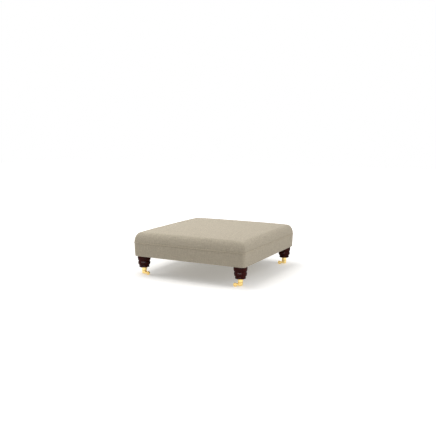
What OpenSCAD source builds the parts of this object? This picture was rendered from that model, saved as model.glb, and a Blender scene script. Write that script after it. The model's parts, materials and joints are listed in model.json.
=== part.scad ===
// Square upholstered footstool on four turned legs with brass castors.
// Millimetres, +Z up. The origin is on the floor under the middle of the stool, and -Y is its front.

/* [Body] */
// Width over the piping
overall_w = 960; // [860:10:1060]
// Depth over the piping
overall_d = 980; // [880:10:1080]
// Height from the underside of the body to the middle of the piping
border_h = 106; // [90:1:130]
// Height from the middle of the piping to the top of the rolled edge
cushion_h = 78; // [65:1:95]
// Extra height of the cushion's middle over its rolled edge
crown = 16; // [4:1:25]
// Flatness of the crown's middle, where 2 is a plain parabola
crown_power = 3.5; // [2:0.5:4]
// Radius of the body's upright corners at the piping
corner_r = 30; // [28:1:32]
// How far the border's lower edge stands in from the outside of the piping
border_draw_in = 7; // [5:0.5:9]

/* [Cushion and cloth] */
// Thickness of the covering cloth
fabric_t = 1.6; // [1:0.1:2]
// Diameter of the covered piping cord
piping_d = 8; // [6:0.5:9]
// How far the cloth faces stand in from the outside of the piping
side_in = 3; // [2:0.5:4]
// How far the cloth turns in where it meets the piping
seam_in = 5.5; // [5:0.5:6]
// Width of the cushion's rolled edge, seen from above
roll_w = 44; // [30:1:60]
// Fullness of the rolled edge, where 2 is a plain quarter ellipse
roll_fullness = 1.9; // [1.6:0.1:2.6]
// Thickness of the wadding over the foam
wadding_t = 8; // [5:0.5:12]
// Room between neighbouring soft layers
soft_gap = 0.3; // [0.2:0.05:0.5]
// Thickness of the border's wadding at its foot
border_pad = 1.4; // [1:0.1:4]
// Width of the cloth that is turned in under the frame
border_return = 28; // [20:1:36]
// Thickness of the dust cover
dust_cover_t = 1; // [0.8:0.1:1.5]
// How far the dust cover stays in from the border's lower edge
dust_cover_in = 12; // [8:1:16]

/* [Frame] */
// Thickness of the frame rails
rail_t = 25; // [24:1:32]
// Drop from the middle of the piping to the top of the rails
deck_drop = 6.4; // [6.2:0.1:8]
// Height of the cross rail
cross_rail_h = 60; // [50:1:80]
// Length of a corner block along each rail
block_leg = 130; // [115:1:150]
// Height of the corner blocks
block_h = 45; // [35:1:55]
// Diameter of the rail dowels
dowel_d = 10; // [8:1:12]
// Depth of a dowel in the rail that it is driven into crosswise
dowel_cross_depth = 16; // [12:1:20]
// Depth of a dowel in the end of a rail
dowel_end_depth = 40; // [25:1:45]

/* [Webbing] */
// Width of a webbing strip
web_w = 50; // [40:1:60]
// Thickness of the webbing
web_t = 1.5; // [1:0.1:2]
// Strips in each direction
web_count = 8; // [6:1:10]
// Thickness of the hessian
hessian_t = 1.2; // [0.8:0.1:1.5]

/* [Legs] */
// Height of the turned leg between the castor and the body
leg_h = 90; // [80:1:110]
// Distance from the outside of the piping to the middle of a leg
leg_in = 64; // [60:1:70]
// Diameter of the leg's top collar
collar_d = 102; // [90:1:104]
// Diameter of the leg's bulb
bulb_d = 95; // [84:1:100]
// Diameter of the necks above and below the bulb
neck_d = 77; // [66:1:82]
// Diameter of the leg's foot ring
foot_d = 80; // [70:1:88]
// Diameter of the bolt that holds the leg
bolt_d = 8; // [6:1:10]
// Depth of the bolt in the leg
bolt_in_leg = 50; // [40:1:55]

/* [Castors] */
// Diameter of the wheels
wheel_d = 30; // [28:1:33]
// Width of the wheels
wheel_w = 13; // [11:0.5:15]
// Distance from the swivel's axis to the wheel's axle
trail = 38; // [36:1:42]
// Diameter of the horn's round column
column_d = 36; // [34:1:38]
// Height of the column's foot above the floor
column_foot = 8; // [7:0.5:10]
// Height of the horn's top above the floor
column_top = 31.4; // [30:0.1:33]
// Outside diameter of the cup
cup_d = 38; // [37:0.5:42]
// Height of the cup
cup_h = 28.5; // [24:0.5:34]
// Wall of the cup
cup_wall = 1.9; // [1.5:0.1:2.4]
// Thickness of the cup's floor
cup_floor = 2.5; // [2:0.1:3]
// Diameter of the kingpin
kingpin_d = 8; // [7:0.5:10]
// Diameter of the axles
axle_d = 6; // [5:0.5:7]
// Thickness of the horn's cheeks
cheek_t = 3.5; // [3:0.1:4.5]
// Way each castor trails at rest, front left, front right, back left, back right, in degrees from +X
trail_angles = [-7, 207, 196, 207];

/* [Fits] */
// Play all round a turning pin
turn_play = 0.05; // [0.02:0.01:0.09]
// Play between turning faces
face_play = 0.1; // [0.05:0.05:0.3]
// Room beside each wheel
wheel_play = 0.6; // [0.4:0.1:1]
// Room round pieces that are glued or screwed in
fit_play = 0.1; // [0.05:0.05:0.15]

/* [Hidden] */
$fn = 64;

// A hole or cut runs this far past the face that it opens
through = 1;

// Heights, from the floor up
washer_t = 1;
washer_z = column_top + face_play;
cup_z = washer_z + washer_t;
leg_z = cup_z + cup_h;
leg_top_z = leg_z + leg_h;
body_z = leg_top_z + dust_cover_t;
rail_z = body_z + fabric_t;
piping_z = body_z + border_h;
rail_top_z = piping_z - deck_drop;
rail_h = rail_top_z - rail_z;
web_cross_z = rail_top_z + web_t;
hessian_z = web_cross_z + web_t;
deck_z = hessian_z + hessian_t;
seam_low_z = piping_z - piping_d / 2;
seam_high_z = piping_z + piping_d / 2;
roll_z = seam_high_z + 2;
edge_z = piping_z + cushion_h;

// Plan of the frame, which stands in by the border's draw-in and by the cloth and wadding round it
border_fold = 2;
frame_in = border_draw_in + border_fold + fabric_t + border_pad;
frame_w = overall_w - 2 * frame_in;
frame_d = overall_d - 2 * frame_in;
inner_w = frame_w - 2 * rail_t;
inner_d = frame_d - 2 * rail_t;
leg_x = overall_w / 2 - leg_in;
leg_y = overall_d / 2 - leg_in;

// Sides of the four corners: front left, front right, back left, back right
function side_x(c) = c % 2 == 0 ? -1 : 1;
function side_y(c) = c < 2 ? -1 : 1;

// Steps of the soft forms: round a corner, along a side, up the rolled edge, up the border
corner_steps = 6;
side_steps = 4;
roll_steps = 6;
border_steps = 4;
piping_steps = 10;
// Top rings of the crown, as shares of the way to the middle
crown_rings = [0.1, 0.22, 0.38, 0.6, 0.82];

// Points of a rounded rectangle, anticlockwise from the right side's back end
function corner_arc(k, hw, hd, r) = [
    for (i = [0 : corner_steps])
        let (a = 90 * k + 90 * i / corner_steps, sx = k == 0 || k == 3 ? 1 : -1, sy = k < 2 ? 1 : -1)
        [sx * (hw - r) + r * cos(a), sy * (hd - r) + r * sin(a)]
];
function between(p, q) = [for (i = [1 : side_steps - 1]) p + (q - p) * i / side_steps];
function loop_points(hw, hd, r) =
    let (arcs = [for (k = [0 : 3]) corner_arc(k, hw, hd, r)])
    [for (k = [0 : 3]) each concat(arcs[k], between(arcs[k][corner_steps], arcs[(k + 1) % 4][0]))];

// The body's outline pulled in by an inset; its corners tighten half as fast as it shrinks
function soft_corner(inset) = corner_r - inset / 2;
function body_loop(inset) = loop_points(overall_w / 2 - inset, overall_d / 2 - inset, soft_corner(inset));

// The crown swells the cushion: one minus a power of the way out along X, times the same along Y
function swell_along(way) = 1 - pow(abs(way), crown_power);
function swell(p) = crown * swell_along(2 * p[0] / overall_w) * swell_along(2 * p[1] / overall_d);
function level(inset, z) = [for (p = body_loop(inset)) [p[0], p[1], z]];
function crowned(inset, z) = [for (p = body_loop(inset)) [p[0], p[1], z + swell(p)]];

// The cushion's outside, pulled in by a depth: seam, rolled edge, then rings that shrink to the middle
function roll_inset(a) = roll_w * (1 - pow(cos(a), 2 / roll_fullness));
function roll_rise(a) = pow(sin(a), 2 / roll_fullness);
function cushion_rings(depth, foot_z) =
    let (top_z = edge_z - depth, top = body_loop(side_in + depth + roll_w))
    concat(
        [level(seam_in + depth, foot_z)],
        foot_z < seam_high_z ? [level(seam_in + depth, seam_high_z)] : [],
        [for (i = [0 : roll_steps])
            let (a = 90 * i / roll_steps)
            crowned(side_in + depth + roll_inset(a), roll_z + (top_z - roll_z) * roll_rise(a))],
        [for (k = crown_rings) [for (p = top) [p[0] * (1 - k), p[1] * (1 - k), top_z + swell(p * (1 - k))]]]
    );

// The border's outside, pulled in by a depth: it draws in towards its lower edge
function border_inset(u) = side_in + (border_draw_in - side_in) * pow(1 - u, 1.5);
function border_rings(depth, foot_z, head_z) =
    let (low = foot_z + 2 * border_fold, high = seam_low_z - 2 * border_fold)
    concat(
        [level(border_draw_in + border_fold + depth, foot_z)],
        [for (i = [0 : border_steps])
            let (u = i / border_steps) level(border_inset(u) + depth, low + (high - low) * u)],
        [level(seam_in + depth, head_z)]
    );

// A closed solid through rings of points, lowest ring first
module form(rings, top_z) {
    n = len(rings[0]);
    m = len(rings);
    points = concat([for (r = rings) each r], [[0, 0, rings[0][0][2]], [0, 0, top_z]]);
    sides = [for (j = [0 : m - 2], i = [0 : n - 1])
        let (a = j * n + i, b = j * n + (i + 1) % n) each [[a, a + n, b + n], [a, b + n, b]]];
    foot = [for (i = [0 : n - 1]) [n * m, i, (i + 1) % n]];
    head = [for (i = [0 : n - 1]) [n * m + 1, (m - 1) * n + (i + 1) % n, (m - 1) * n + i]];
    polyhedron(points, concat(sides, foot, head), convexity = 4);
}

module cushion_form(depth, foot_z) {
    form(cushion_rings(depth, foot_z), edge_z - depth + crown);
}

module border_form(depth, foot_z, head_z) {
    form(border_rings(depth, foot_z, head_z), head_z);
}

// A plate with rounded corners
module rounded_plate(w, d, r, t) {
    linear_extrude(t) {
        square([w - 2 * r, d], center = true);
        square([w, d - 2 * r], center = true);
        for (x = [-1, 1], y = [-1, 1]) translate([x * (w / 2 - r), y * (d / 2 - r)]) circle(r);
    }
}

module body_plate(inset, t) {
    rounded_plate(overall_w - 2 * inset, overall_d - 2 * inset, soft_corner(min(inset, 2 * frame_in)), t);
}

// Frame

// Dowels: two at each corner and two at each end of the cross rail, as [x, y of the joint, side, height]
function dowel_places() = concat(
    [for (c = [0 : 3], h = [0.25, 0.75])
        [side_x(c) * (frame_w - rail_t) / 2, side_y(c) * inner_d / 2, side_y(c), rail_z + rail_h * h]],
    [for (s = [-1, 1], h = [0.25, 0.75]) [0, s * inner_d / 2, s, rail_z + cross_rail_h * h]]
);
module dowel_rods(play) {
    for (p = dowel_places())
        translate([p[0], p[1] + p[2] * (dowel_cross_depth + play), p[3]])
            rotate([90 * p[2], 0, 0])
                cylinder(d = dowel_d + 2 * play, h = dowel_cross_depth + dowel_end_depth + 2 * play);
}
module rail_dowels() color("#d9b98a") dowel_rods(0);

// A corner block's screws run along Y into the front or back rail and along X into a side rail
screw_d = 4.5;
screw_head_d = 9;
screw_head_t = 3;
screw_in_block = 22;
screw_in_rail = 18;
screw_from_tip = 30;
module block_screw(play, cut) {
    translate([0, 0, -screw_in_rail - play])
        cylinder(d = screw_d + 2 * play, h = screw_in_rail + screw_in_block + play);
    translate([0, 0, screw_in_block]) cylinder(d = screw_head_d + 2 * play, h = screw_head_t + cut);
}
// Screws of one corner, in a quarter whose corner lies at the frame's inner corner
module corner_screws(play, cut) {
    at = block_leg - screw_from_tip;
    translate([-at, 0, block_h / 2]) rotate([90, 0, 0]) block_screw(play, cut);
    translate([0, -at, block_h / 2]) rotate([0, -90, 0]) block_screw(play, cut);
}
module in_corner(c) {
    translate([side_x(c) * inner_w / 2, side_y(c) * inner_d / 2, rail_z])
        mirror([side_x(c) < 0 ? 1 : 0, 0, 0]) mirror([0, side_y(c) < 0 ? 1 : 0, 0]) children();
}
module all_block_screws(play, cut) {
    for (c = [0 : 3]) in_corner(c) corner_screws(play, cut);
}
module corner_block_screws() color("#b8b4a8") all_block_screws(0, 0);

module rail_blank() {
    translate([0, 0, rail_z]) rounded_plate(frame_w, frame_d, soft_corner(frame_in), rail_h);
}
module rail_cuts() {
    dowel_rods(fit_play);
    all_block_screws(fit_play, 0);
}
// A rail across the front or the back, the full width of the frame
module long_rail(s) {
    color("#d8b483") difference() {
        intersection() {
            rail_blank();
            translate([-frame_w / 2, s > 0 ? inner_d / 2 : -frame_d / 2, rail_z])
                cube([frame_w, rail_t, rail_h]);
        }
        rail_cuts();
    }
}
// A rail at the left or the right, between the other two
module side_rail(s) {
    color("#d3ad7b") difference() {
        translate([s > 0 ? inner_w / 2 : -frame_w / 2, -inner_d / 2, rail_z])
            cube([rail_t, inner_d, rail_h]);
        rail_cuts();
    }
}
module cross_rail() {
    color("#d3ad7b") difference() {
        translate([-rail_t / 2, -inner_d / 2, rail_z]) cube([rail_t, inner_d, cross_rail_h]);
        dowel_rods(fit_play);
    }
}

// Tee nut in the top of each corner block, and the bolt that joins it to the leg
nut_barrel_d = bolt_d + 3;
nut_barrel_h = 11;
nut_flange_d = 24;
nut_flange_t = 1.5;
bolt_past_nut = 6;
module at_leg(c) translate([side_x(c) * leg_x, side_y(c) * leg_y, 0]) children();
module corner_block(c) {
    tip = 6;
    color("#caa06a") difference() {
        in_corner(c) linear_extrude(block_h)
            polygon([[0, 0], [-block_leg, 0], [-block_leg, -tip], [-tip, -block_leg], [0, -block_leg]]);
        in_corner(c) corner_screws(fit_play, block_leg);
        at_leg(c) {
            translate([0, 0, rail_z - through]) cylinder(d = bolt_d + 2 * fit_play, h = block_h);
            translate([0, 0, rail_z + block_h - nut_barrel_h - fit_play])
                cylinder(d = nut_barrel_d + 2 * fit_play, h = nut_barrel_h + through);
        }
    }
}
module tee_nuts() {
    color("#b9bcc0") for (c = [0 : 3]) at_leg(c) difference() {
        union() {
            translate([0, 0, rail_z + block_h]) cylinder(d = nut_flange_d, h = nut_flange_t);
            translate([0, 0, rail_z + block_h - nut_barrel_h]) cylinder(d = nut_barrel_d, h = nut_barrel_h);
        }
        translate([0, 0, rail_z + block_h - nut_barrel_h - through])
            cylinder(d = bolt_d + 2 * turn_play, h = nut_barrel_h + nut_flange_t + 2 * through);
    }
}
module leg_bolts() {
    color("#a9acb0") for (c = [0 : 3]) at_leg(c) translate([0, 0, leg_top_z - bolt_in_leg])
        cylinder(d = bolt_d, h = bolt_in_leg + rail_z - leg_top_z + block_h + nut_flange_t + bolt_past_nut);
}

// Webbing, hessian and their tacks

web_end_in = 4;
function web_place(i, span) = (i - (web_count - 1) / 2) * span / web_count;
web_len_x = frame_w - 2 * web_end_in;
web_len_y = frame_d - 2 * web_end_in;
module webbing_front_to_back() {
    color("#b08d57") for (i = [0 : web_count - 1])
        translate([web_place(i, inner_w) - web_w / 2, -web_len_y / 2, rail_top_z])
            cube([web_w, web_len_y, web_t]);
}
module webbing_side_to_side() {
    color("#a8844f") for (i = [0 : web_count - 1])
        translate([-web_len_x / 2, web_place(i, inner_d) - web_w / 2, web_cross_z])
            cube([web_len_x, web_w, web_t]);
}
tack_head_d = 7;
tack_head_t = 0.8;
tack_d = 1.8;
tack_len = 13;
module tack(head_z) {
    translate([0, 0, head_z]) cylinder(d = tack_head_d, h = tack_head_t);
    translate([0, 0, head_z - tack_len]) cylinder(d1 = tack_d / 3, d2 = tack_d, h = tack_len);
}
module webbing_tacks() {
    tack_in = rail_t / 2;
    color("#55565a") for (i = [0 : web_count - 1], e = [-1, 1], t = [-1, 1]) {
        translate([web_place(i, inner_w) + t * web_w / 4, e * (frame_d / 2 - tack_in), 0])
            tack(rail_top_z + web_t);
        translate([e * (frame_w / 2 - tack_in), web_place(i, inner_d) + t * web_w / 4, 0])
            tack(web_cross_z + web_t);
    }
}
module hessian() {
    // Its edge lies just inside the tack heads
    shy = rail_t + tack_head_d + 2;
    color("#a98c5e") translate([0, 0, hessian_z])
        rounded_plate(frame_w - shy, frame_d - shy, rail_t / 2, hessian_t);
}

// Cushion and covers

wadding_depth = fabric_t + soft_gap;
foam_depth = wadding_depth + wadding_t + soft_gap;
module foam_pad() {
    color("#e8d9a0") cushion_form(foam_depth, deck_z);
}
module wadding() {
    color("#f2f0ea") difference() {
        union() {
            cushion_form(wadding_depth, seam_high_z);
            form([level(seam_in + wadding_depth + fabric_t, deck_z),
                  level(seam_in + wadding_depth + fabric_t, seam_high_z + fabric_t)], seam_high_z + fabric_t);
        }
        cushion_form(foam_depth - soft_gap, deck_z - through);
    }
}
module top_cover() {
    color("#c9bfac") difference() {
        cushion_form(0, seam_high_z);
        cushion_form(fabric_t, seam_high_z - through);
    }
}
// The piping is a round tube, built from outlines whose insets go round a circle
module piping_cord() {
    r = piping_d / 2;
    rings = [for (j = [0 : piping_steps - 1])
        let (a = 360 * j / piping_steps, inset = r + r * cos(a), z = piping_z + r * sin(a))
        [for (p = loop_points(overall_w / 2 - inset, overall_d / 2 - inset, corner_r - inset))
            [p[0], p[1], z]]];
    n = len(rings[0]);
    faces = [for (j = [0 : piping_steps - 1], i = [0 : n - 1])
        let (a = j * n + i, b = j * n + (i + 1) % n, up = ((j + 1) % piping_steps) * n,
             c = up + i, d = up + (i + 1) % n)
        each [[a, d, c], [a, b, d]]];
    color("#b9ae98") polyhedron([for (r = rings) each r], faces, convexity = 6);
}
module border_wadding() {
    foot_z = rail_z + soft_gap;
    head_z = seam_low_z - soft_gap;
    rail_room = 0.5;
    color("#f2f0ea") difference() {
        border_form(fabric_t + soft_gap, foot_z, head_z);
        form([level(frame_in - rail_room, foot_z - through), level(frame_in - rail_room, head_z + through)],
             head_z + through);
    }
}
module border_panel() {
    color("#bdb29c") difference() {
        border_form(0, body_z, seam_low_z);
        border_form(fabric_t, rail_z, seam_low_z + through);
        translate([0, 0, body_z - through])
            body_plate(border_draw_in + border_return, fabric_t + 2 * through);
    }
}
module dust_cover() {
    inset = border_draw_in + dust_cover_in;
    color("#2b2b2d") difference() {
        translate([0, 0, leg_top_z]) body_plate(inset, dust_cover_t);
        for (c = [0 : 3]) at_leg(c) translate([0, 0, leg_top_z - through])
            cylinder(d = bolt_d + 2 * fit_play, h = dust_cover_t + 2 * through);
    }
}
// Staples are driven up through the dust cover into the rails
staple_w = 10;
staple_wire = 1;
staple_leg = 8;
staple_pitch = 80;
module staple() {
    translate([-staple_w / 2, -staple_wire / 2, -staple_wire]) cube([staple_w, staple_wire, staple_wire]);
    for (s = [-1, 1]) translate([s * (staple_w - staple_wire) / 2 - staple_wire / 2, -staple_wire / 2, 0])
        cube([staple_wire, staple_wire, staple_leg]);
}
module dust_cover_staples() {
    edge = border_draw_in + dust_cover_in + 5;
    half_w = leg_x - collar_d / 2 - staple_w;
    half_d = leg_y - collar_d / 2 - staple_w;
    count_w = floor(2 * half_w / staple_pitch);
    count_d = floor(2 * half_d / staple_pitch);
    color("#8d8f93") translate([0, 0, leg_top_z]) for (s = [-1, 1]) {
        for (i = [0 : count_w]) translate([-half_w + 2 * half_w * i / count_w, s * (overall_d / 2 - edge), 0])
            staple();
        for (i = [0 : count_d]) translate([s * (overall_w / 2 - edge), -half_d + 2 * half_d * i / count_d, 0])
            rotate(90) staple();
    }
}

// Legs

// Points of an elliptical arc in the turning's half plane, from angle a0 to a1
function turned(r, z, rr, rz, a0, a1, n) = [for (i = [0 : n])
    let (a = a0 + (a1 - a0) * i / n) [r + rr * cos(a), z + rz * sin(a)]];

// Turned outline from the tenon's shoulder up: foot ring, neck, bulb, cove and collar
foot_ring_h = 12;
foot_neck_h = 5;
bulb_h = 38;
bulb_top_angle = 45;
cove_h = 4.6;
collar_swell = 5;
collar_edge = 2;
tenon_d = cup_d - 2 * cup_wall - 2 * fit_play;
pin_head_d = kingpin_d + 6;
pin_head_t = 3;
tenon_z = cup_z + cup_floor;
module leg_turning() {
    neck_r = neck_d / 2;
    neck_in = 1;
    bulb_out = bulb_d / 2 - neck_r;
    bulb_z = foot_ring_h + foot_neck_h + bulb_h / 2;
    collar_r = collar_d / 2;
    collar_z = bulb_z + bulb_h / 2 * sin(bulb_top_angle) + cove_h;
    collar_wide_z = collar_z + (leg_h - collar_z) * 0.6;
    rotate_extrude() polygon(concat(
        [[0, 0]],
        turned(neck_r - neck_in, foot_ring_h / 2, foot_d / 2 - neck_r + neck_in, foot_ring_h / 2, -90, 90, 8),
        turned(neck_r, bulb_z, bulb_out, bulb_h / 2, -90, bulb_top_angle, 12),
        turned(collar_r - collar_swell, collar_wide_z, collar_swell, collar_wide_z - collar_z, -90, 0, 8),
        turned(collar_r - collar_edge, leg_h - 2 * collar_edge, collar_edge, 2 * collar_edge, 0, 90, 4),
        [[0, leg_h]]
    ));
}
module leg(c) {
    color("#3a1410") at_leg(c) difference() {
        union() {
            translate([0, 0, leg_z]) leg_turning();
            translate([0, 0, tenon_z]) cylinder(d = tenon_d, h = leg_z - tenon_z + through);
        }
        translate([0, 0, leg_top_z - bolt_in_leg - fit_play])
            cylinder(d = bolt_d + 2 * turn_play, h = bolt_in_leg + through);
        translate([0, 0, tenon_z - through])
            cylinder(d = pin_head_d + 4 * fit_play, h = pin_head_t + through + 2 * fit_play);
        cup_screw_ring(fit_play);
    }
}

// Castors

cup_screw_d = 3;
cup_screw_head_d = 6;
cup_screw_len = 11;
cup_screw_count = 3;
cup_bead = 1.3;
cup_screw_head_t = 2.2;
cup_screw_proud = 0.5;
// Small screws, set round the cup, whose countersunk heads stand a little proud
module cup_screw_ring(play) {
    for (k = [0 : cup_screw_count - 1])
        translate([0, 0, cup_z + cup_h * 0.6]) rotate([0, 90, 360 * (k + 0.25) / cup_screw_count])
            translate([0, 0, cup_d / 2 + cup_screw_proud - cup_screw_head_t]) {
                cylinder(d1 = cup_screw_d + 2 * play, d2 = cup_screw_head_d + 2 * play, h = cup_screw_head_t);
                translate([0, 0, cup_screw_head_t - cup_screw_len - play])
                    cylinder(d = cup_screw_d + 2 * play, h = cup_screw_len - cup_screw_head_t + 2 * play);
            }
}
module cup_screws() color("#c9a45c") for (c = [0 : 3]) at_leg(c) cup_screw_ring(0);

module castor_cup(c) {
    r = cup_d / 2;
    foot_r = 3;
    color("#d9ab55") at_leg(c) difference() {
        translate([0, 0, cup_z]) rotate_extrude() polygon(concat(
            [[kingpin_d / 2 + turn_play, 0]],
            turned(r - foot_r, foot_r, foot_r, foot_r, -90, 0, 6),
            turned(r, cup_h - cup_bead, cup_bead, cup_bead, -90, 90, 8),
            [[r - cup_wall, cup_h], [r - cup_wall, cup_floor], [kingpin_d / 2 + turn_play, cup_floor]]
        ));
        cup_screw_ring(fit_play / 2);
    }
}

washer_d = 26;
module pivot_washers() {
    color("#c8cacc") for (c = [0 : 3]) at_leg(c) translate([0, 0, washer_z]) difference() {
        cylinder(d = washer_d, h = washer_t);
        translate([0, 0, -through]) cylinder(d = kingpin_d + 2 * turn_play, h = washer_t + 2 * through);
    }
}

// The kingpin is fixed in the cup; its lower head sits in a recess in the horn's foot
recess_h = 3;
rivet_d = kingpin_d + 4;
rivet_t = 2;
rivet_top_z = column_foot + recess_h - face_play;
module kingpin(c) {
    foot_z = rivet_top_z - rivet_t;
    color("#b0883e") at_leg(c) {
        translate([0, 0, foot_z]) cylinder(d = rivet_d, h = rivet_t);
        translate([0, 0, foot_z]) cylinder(d = kingpin_d, h = tenon_z + pin_head_t - foot_z);
        translate([0, 0, tenon_z]) cylinder(d = pin_head_d, h = pin_head_t);
    }
}

// What turns with a castor's swivel stands in a frame whose +X is the way that it trails
module on_swivel(c) at_leg(c) rotate(trail_angles[c]) children();
wheel_z = wheel_d / 2;
cheek_in = wheel_w / 2 + wheel_play;
eye_r = axle_d / 2 + 3;
// Side view of a cheek: a deep root at the column that tapers to a round eye at the axle
module cheek() {
    root_low = column_foot + 3;
    root_high = column_top - 5;
    eye_top = wheel_z + eye_r;
    translate([0, cheek_in + cheek_t, 0]) rotate([90, 0, 0]) linear_extrude(cheek_t) difference() {
        union() {
            polygon(concat(
                [[0, root_low], [trail, wheel_z - eye_r]],
                turned(trail, root_high, column_d / 2 - trail, eye_top - root_high, 90, 0, 6),
                [[0, root_high]]
            ));
            translate([trail, wheel_z]) circle(eye_r);
        }
        translate([trail, wheel_z]) circle(d = axle_d + 2 * turn_play);
    }
}
module castor_horn(c) {
    r = column_d / 2;
    foot_round = 5;
    color("#d6a850") on_swivel(c) difference() {
        union() {
            rotate_extrude() polygon(concat(
                [[0, column_foot]],
                turned(r - foot_round, column_foot + foot_round, foot_round, foot_round, -90, 0, 6),
                turned(r - 1.5, column_top - 1.5, 1.5, 1.5, 0, 90, 4),
                [[0, column_top]]
            ));
            cheek();
            mirror([0, 1, 0]) cheek();
        }
        translate([0, 0, column_foot - through])
            cylinder(d = kingpin_d + 2 * turn_play, h = column_top - column_foot + 2 * through);
        translate([0, 0, column_foot - through]) cylinder(d = rivet_d + 4 * fit_play, h = recess_h + through);
    }
}

// A brass wheel with a crowned tread, dished faces and a hub
wheel_rim = 2.4;
wheel_edge = 2;
wheel_dish = 1.6;
wheel_hub = 2.2;
// One face's outline, from the bore out to the tread; side is -1 or 1
function wheel_face(side) =
    let (half = side * wheel_w / 2, low = half - side * wheel_dish,
         hub_r = axle_d / 2 + wheel_hub, rim_r = wheel_d / 2 - wheel_edge - wheel_rim)
    [[axle_d / 2 + turn_play, half], [hub_r, half], [hub_r + wheel_dish / 2, low], [rim_r, low],
     [rim_r + wheel_dish / 2, half]];
function reversed(points) = [for (i = [len(points) - 1 : -1 : 0]) points[i]];
module castor_wheel(c) {
    tread_r = wheel_d / 2 - wheel_edge;
    tread_z = wheel_w / 2 - wheel_edge;
    color("#e0b45e") on_swivel(c) translate([trail, 0, wheel_z]) rotate([90, 0, 0]) rotate_extrude()
        polygon(concat(
            wheel_face(-1),
            turned(tread_r, -tread_z, wheel_edge, wheel_edge, -90, 0, 5),
            turned(tread_r, tread_z, wheel_edge, wheel_edge, 0, 90, 5),
            reversed(wheel_face(1))
        ));
}
module axle(c) {
    head_d = axle_d + 3;
    head_t = 1.2;
    reach = cheek_in + cheek_t;
    color("#c3974a") on_swivel(c) translate([trail, reach, wheel_z]) rotate([90, 0, 0]) {
        cylinder(d = axle_d, h = 2 * reach);
        translate([0, 0, -head_t]) cylinder(d1 = head_d - 2, d2 = head_d, h = head_t);
        translate([0, 0, 2 * reach]) cylinder(d1 = head_d, d2 = head_d - 2, h = head_t);
    }
}

long_rail(-1);  // rail_front
long_rail(1);  // rail_back
side_rail(-1);  // rail_left
side_rail(1);  // rail_right
cross_rail();
rail_dowels();
corner_block_screws();
webbing_front_to_back();
webbing_side_to_side();
webbing_tacks();
hessian();
foam_pad();
wadding();
top_cover();
piping_cord();
border_wadding();
border_panel();
dust_cover();
dust_cover_staples();
leg_bolts();
tee_nuts();
cup_screws();
pivot_washers();
corner_block(0);  // corner_block_front_left
corner_block(1);  // corner_block_front_right
corner_block(2);  // corner_block_back_left
corner_block(3);  // corner_block_back_right
leg(0);  // leg_front_left
leg(1);  // leg_front_right
leg(2);  // leg_back_left
leg(3);  // leg_back_right
castor_cup(0);  // castor_cup_front_left
castor_cup(1);  // castor_cup_front_right
castor_cup(2);  // castor_cup_back_left
castor_cup(3);  // castor_cup_back_right
kingpin(0);  // kingpin_front_left
kingpin(1);  // kingpin_front_right
kingpin(2);  // kingpin_back_left
kingpin(3);  // kingpin_back_right
castor_horn(0);  // castor_horn_front_left
castor_horn(1);  // castor_horn_front_right
castor_horn(2);  // castor_horn_back_left
castor_horn(3);  // castor_horn_back_right
castor_wheel(0);  // castor_wheel_front_left
castor_wheel(1);  // castor_wheel_front_right
castor_wheel(2);  // castor_wheel_back_left
castor_wheel(3);  // castor_wheel_back_right
axle(0);  // axle_front_left
axle(1);  // axle_front_right
axle(2);  // axle_back_left
axle(3);  // axle_back_right
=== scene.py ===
"""Looks of a square upholstered footstool on turned mahogany legs with brass castors.

Every piece is a surface worked out with numpy in metres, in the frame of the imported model: +Z up, the
front towards -Y, the floor at zero.
"""

import json
import logging
import math
from dataclasses import dataclass, field
from enum import Enum

import bmesh
import bpy
import numpy as np
from mathutils import Matrix, Vector
from numpy.typing import NDArray

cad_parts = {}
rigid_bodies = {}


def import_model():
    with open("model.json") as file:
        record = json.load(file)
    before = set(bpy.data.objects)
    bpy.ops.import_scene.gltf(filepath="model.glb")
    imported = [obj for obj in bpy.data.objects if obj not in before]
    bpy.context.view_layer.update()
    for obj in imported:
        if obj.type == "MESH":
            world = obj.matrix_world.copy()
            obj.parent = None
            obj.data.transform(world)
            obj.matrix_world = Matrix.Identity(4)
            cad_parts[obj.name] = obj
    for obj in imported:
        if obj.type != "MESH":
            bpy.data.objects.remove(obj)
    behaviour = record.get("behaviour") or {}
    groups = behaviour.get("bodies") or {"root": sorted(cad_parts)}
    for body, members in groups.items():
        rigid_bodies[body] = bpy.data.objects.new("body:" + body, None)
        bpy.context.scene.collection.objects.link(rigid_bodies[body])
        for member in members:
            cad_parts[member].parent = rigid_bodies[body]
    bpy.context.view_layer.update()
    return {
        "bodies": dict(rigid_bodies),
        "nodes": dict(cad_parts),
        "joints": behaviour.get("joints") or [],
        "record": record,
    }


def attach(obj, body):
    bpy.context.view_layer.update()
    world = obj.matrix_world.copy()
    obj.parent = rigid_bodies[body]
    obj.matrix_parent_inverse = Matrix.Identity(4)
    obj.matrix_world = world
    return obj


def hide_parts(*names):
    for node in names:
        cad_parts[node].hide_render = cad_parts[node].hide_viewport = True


Array = NDArray[np.float64]
Colour = tuple[float, float, float]
Point = tuple[float, float, float]
Pair = tuple[float, float]
LOG = logging.getLogger("footstool")
MM = 0.001
TINY = 1e-12
MERGE_DISTANCE = 1e-6
WHITE = (1.0, 1.0, 1.0)
FIXED_BODY = "stool"
# How far each leg's axis lies from the middle along X and Y
LEG_AT = (0.416, 0.426)


class Slot(Enum):
    """Material slots of the record."""

    LINEN = "linen"
    MAHOGANY = "mahogany"
    BRASS = "brass"
    PIN_BRASS = "pin_brass"
    FRAME_WOOD = "frame_wood"
    STEEL = "steel"
    WEBBING = "webbing"
    HESSIAN = "hessian"
    DUST_CLOTH = "dust_cloth"


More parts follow.
